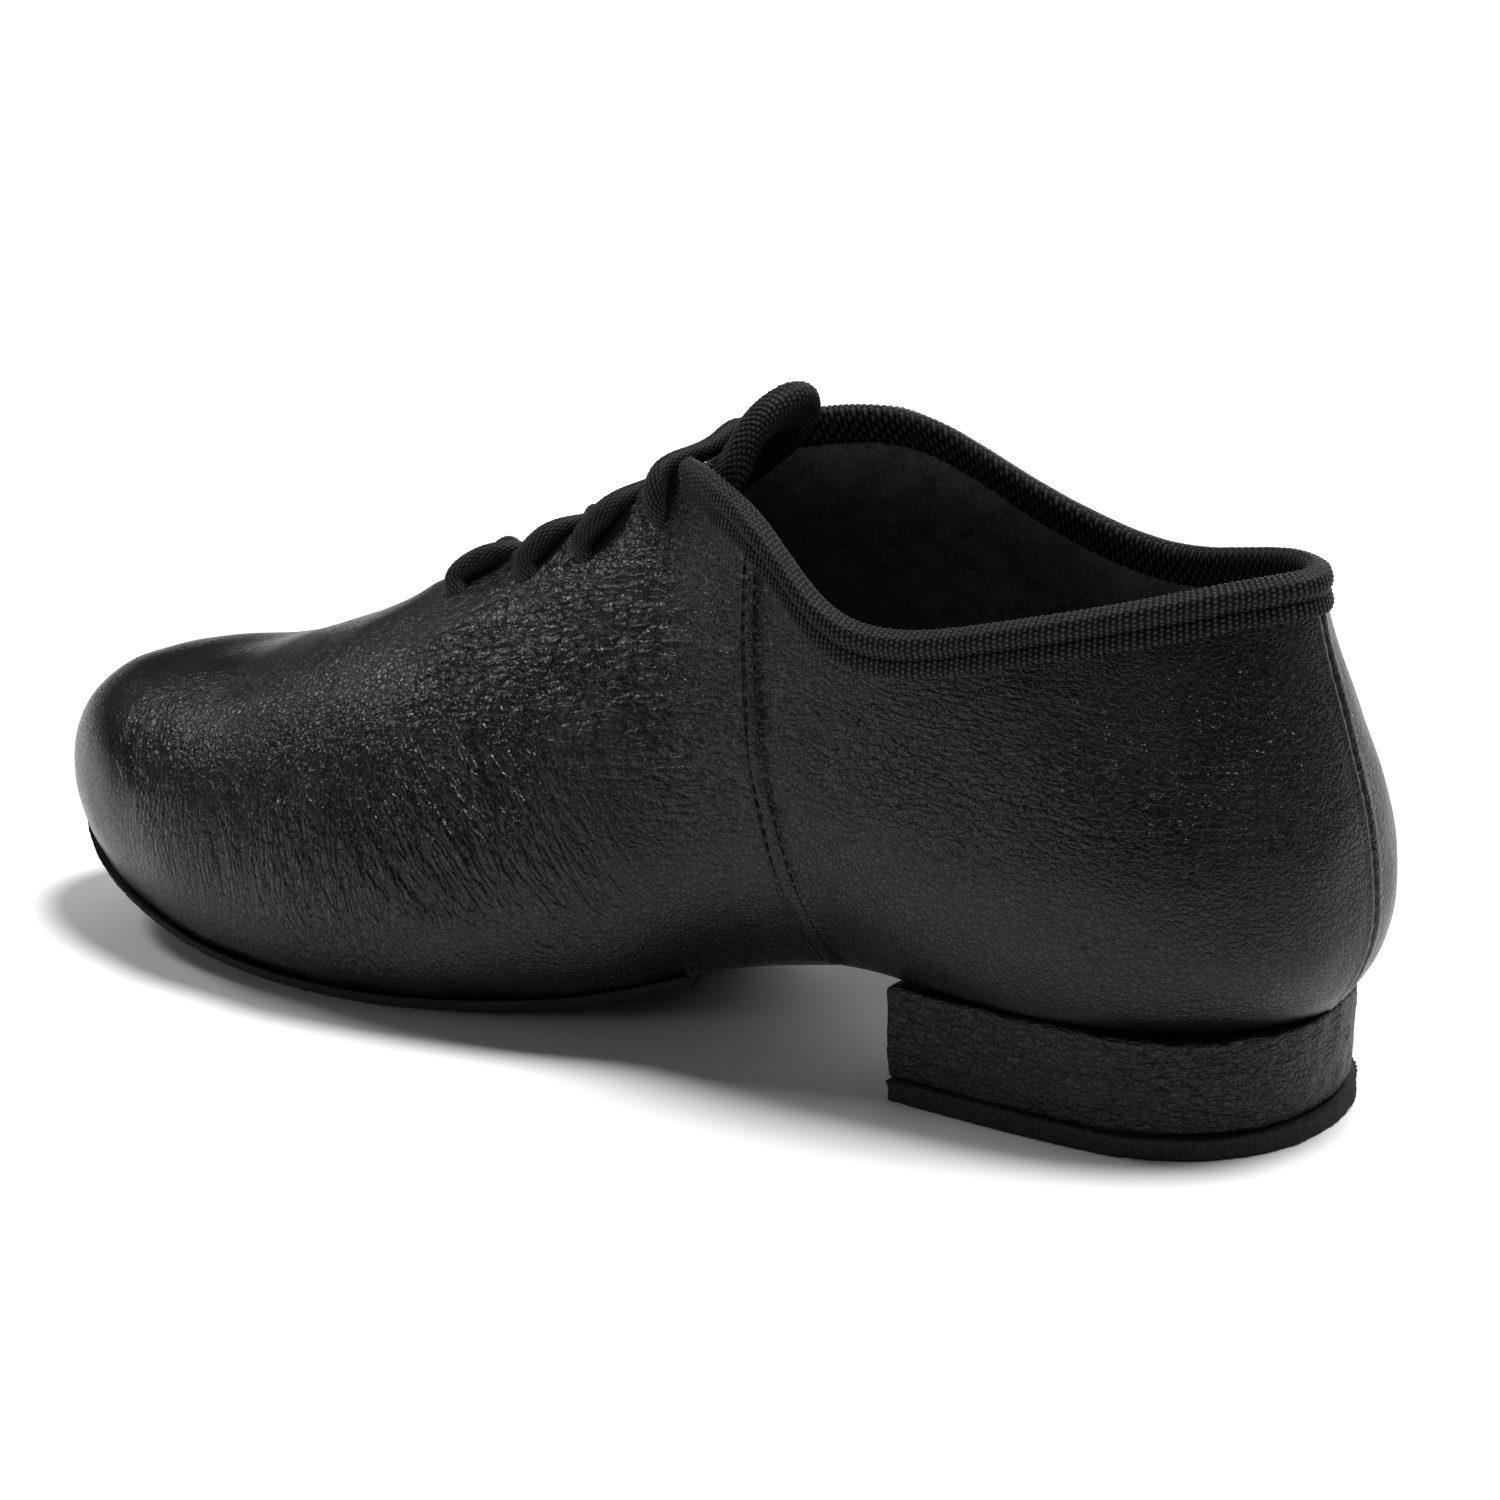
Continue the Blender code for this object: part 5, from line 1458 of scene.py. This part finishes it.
def seam_stitches(thread):
    """Two rows of machine stitches on each side seam, and the back seam's."""
    base = SKIN.ribs[:, ::ROW_STEP]
    normals = SKIN.normals[:, ::ROW_STEP]
    steps = []
    for outer in (False, True):
        rib = SKIN.index(ROWS.index("side seam"), outer)
        across = unit(base[(rib + 3) % SKIN.count] - base[(rib - 3) % SKIN.count])
        for sign in (-1, 1):
            aside = across * SEAM_STITCH_ROW * sign + normals[rib] * (SEAM_RAISE + 0.00002)
            steps += stitch_row(rib, SEAM_STITCH_PITCH, SEAM_STITCH, aside)
    steps += stitch_row(0, BACK_STITCH_PITCH, BACK_STITCH, -normals[0] * 0.0004)
    keep(stitch_mesh("seam_stitches", steps, SEAM_THREAD, thread), "upper")


# The photograph's camera: aim on the shoe, angles round it, distance, and lens on a 36 mm sensor.
CAMERA_AIM = (0.07074, 0.02190, 0.05801)
CAMERA_TURN = 211.5
CAMERA_RISE = 17.5
CAMERA_DISTANCE = 0.970
CAMERA_LENS = 128.8
SENSOR = 36.0


def aim(item, spot, turn, rise, distance):
    """Stand an object off from a spot at an azimuth and elevation, looking back at it."""
    a, e = math.radians(turn), math.radians(rise)
    back = Vector((math.sin(a) * math.cos(e), -math.cos(a) * math.cos(e), math.sin(e)))
    item.location = Vector(spot) + back * distance
    item.rotation_mode = "QUATERNION"
    item.rotation_quaternion = back.to_track_quat("Z", "Y")


def make_camera():
    """The photograph's camera, with the whole scene in focus."""
    data = bpy.data.cameras.new("camera")
    data.lens = CAMERA_LENS
    data.sensor_width = SENSOR
    data.clip_start, data.clip_end = 0.05, 20.0
    camera = bpy.data.objects.new("camera", data)
    bpy.context.scene.collection.objects.link(camera)
    aim(camera, CAMERA_AIM, CAMERA_TURN, CAMERA_RISE, CAMERA_DISTANCE)
    bpy.context.scene.camera = camera


# Soft boxes that look at LIT_SPOT, and the key light, aimed by azimuth and elevation.
LIGHTS = [
    # name, azimuth, elevation, distance, width, height, power in watts
    ("far side",  92, 41, 1.00, 0.24, 0.18, 2.8),
    ("far low",    8, 17, 1.10, 1.10, 0.30, 6.0),
    ("near low", 152, 13, 1.00, 0.40, 0.20, 0.9),
    ("heel",     285, 30, 0.80, 0.30, 0.50, 0.2),
]
LIT_SPOT = (0.09, 0.0, 0.04)
SKY_LIGHT = 0.06
KEY_AIM = (326, 74)
KEY_POWER = 3.65
KEY_SPREAD = 20


def make_lights():
    """Soft boxes round the shoe, the key light and a faint sky, seen without a film curve."""
    for name, turn, rise, distance, wide, high, power in LIGHTS:
        data = bpy.data.lights.new(name, "AREA")
        data.shape = "RECTANGLE"
        data.size, data.size_y = wide, high
        data.energy = power
        light = bpy.data.objects.new(name, data)
        bpy.context.scene.collection.objects.link(light)
        aim(light, LIT_SPOT, turn, rise, distance)
    data = bpy.data.lights.new("key", "SUN")
    data.energy = KEY_POWER
    data.angle = math.radians(KEY_SPREAD)
    sun = bpy.data.objects.new("key", data)
    bpy.context.scene.collection.objects.link(sun)
    aim(sun, LIT_SPOT, *KEY_AIM, 1.0)
    world = bpy.data.worlds.new("studio")
    world.use_nodes = True
    sky = world.node_tree.nodes["Background"]
    sky.inputs["Color"].default_value = (1.0, 1.0, 1.0, 1.0)
    sky.inputs["Strength"].default_value = SKY_LIGHT
    bpy.context.scene.world = world
    bpy.context.scene.view_settings.view_transform = "Standard"


def make_floor():
    """A plain white floor, as plain as the photograph's."""
    size = 6.0
    corners = [(-size, -size, 0.0), (size, -size, 0.0), (size, size, 0.0), (-size, size, 0.0)]
    material = bpy.data.materials.new("white floor")
    material.use_nodes = True
    shader = material.node_tree.nodes["Principled BSDF"]
    shader.inputs["Base Color"].default_value = (0.93, 0.93, 0.93, 1.0)
    shader.inputs["Roughness"].default_value = 0.9
    shader.inputs["Specular IOR Level"].default_value = 0.1
    floor = mesh_piece("floor", corners, [(0, 1, 2, 3)], material, smooth=False)


def main():
    leather = leather_material("black grained leather")
    tongue_leather = leather_material("black tongue leather", {"net": 0.5}, rough=0.42)
    cover = leather_material("black heel cover", {"level": 1.0}, rough=0.42)
    lining = textile_material("black lining", (0.110, 0.110, 0.110), 0.9, 0.0008, 0.00003)
    tape = textile_material("black ribbed tape", (0.042, 0.042, 0.043), 0.55, 0.00035, 0.000012, True)
    cord = textile_material("black cord", (0.034, 0.034, 0.034), 0.58, 0.00035, 0.000014, True)
    thread = textile_material("black thread", (0.0040, 0.0040, 0.0040), 0.6, 0.0003, 0.000008)
    suede = rough_material("black split leather", (0.0110, 0.0110, 0.0110), 0.92, 0.0009, 0.00010)
    rubber = rough_material("black rubber", (0.0200, 0.0200, 0.0200), 0.85, 0.0007, 0.00008)
    board = rough_material("black insole lining", (0.030, 0.030, 0.030), 0.9, 0.0006, 0.00004)
    make_upper(leather, lining)
    make_insole(board)
    make_outsole(suede)
    make_heel(cover, rubber)
    make_tongue(tongue_leather, tape, thread)
    make_collar_binding(tape, thread)
    make_laces(cord)
    seam_stitches(thread)
    make_floor()
    make_lights()
    make_camera()


main()
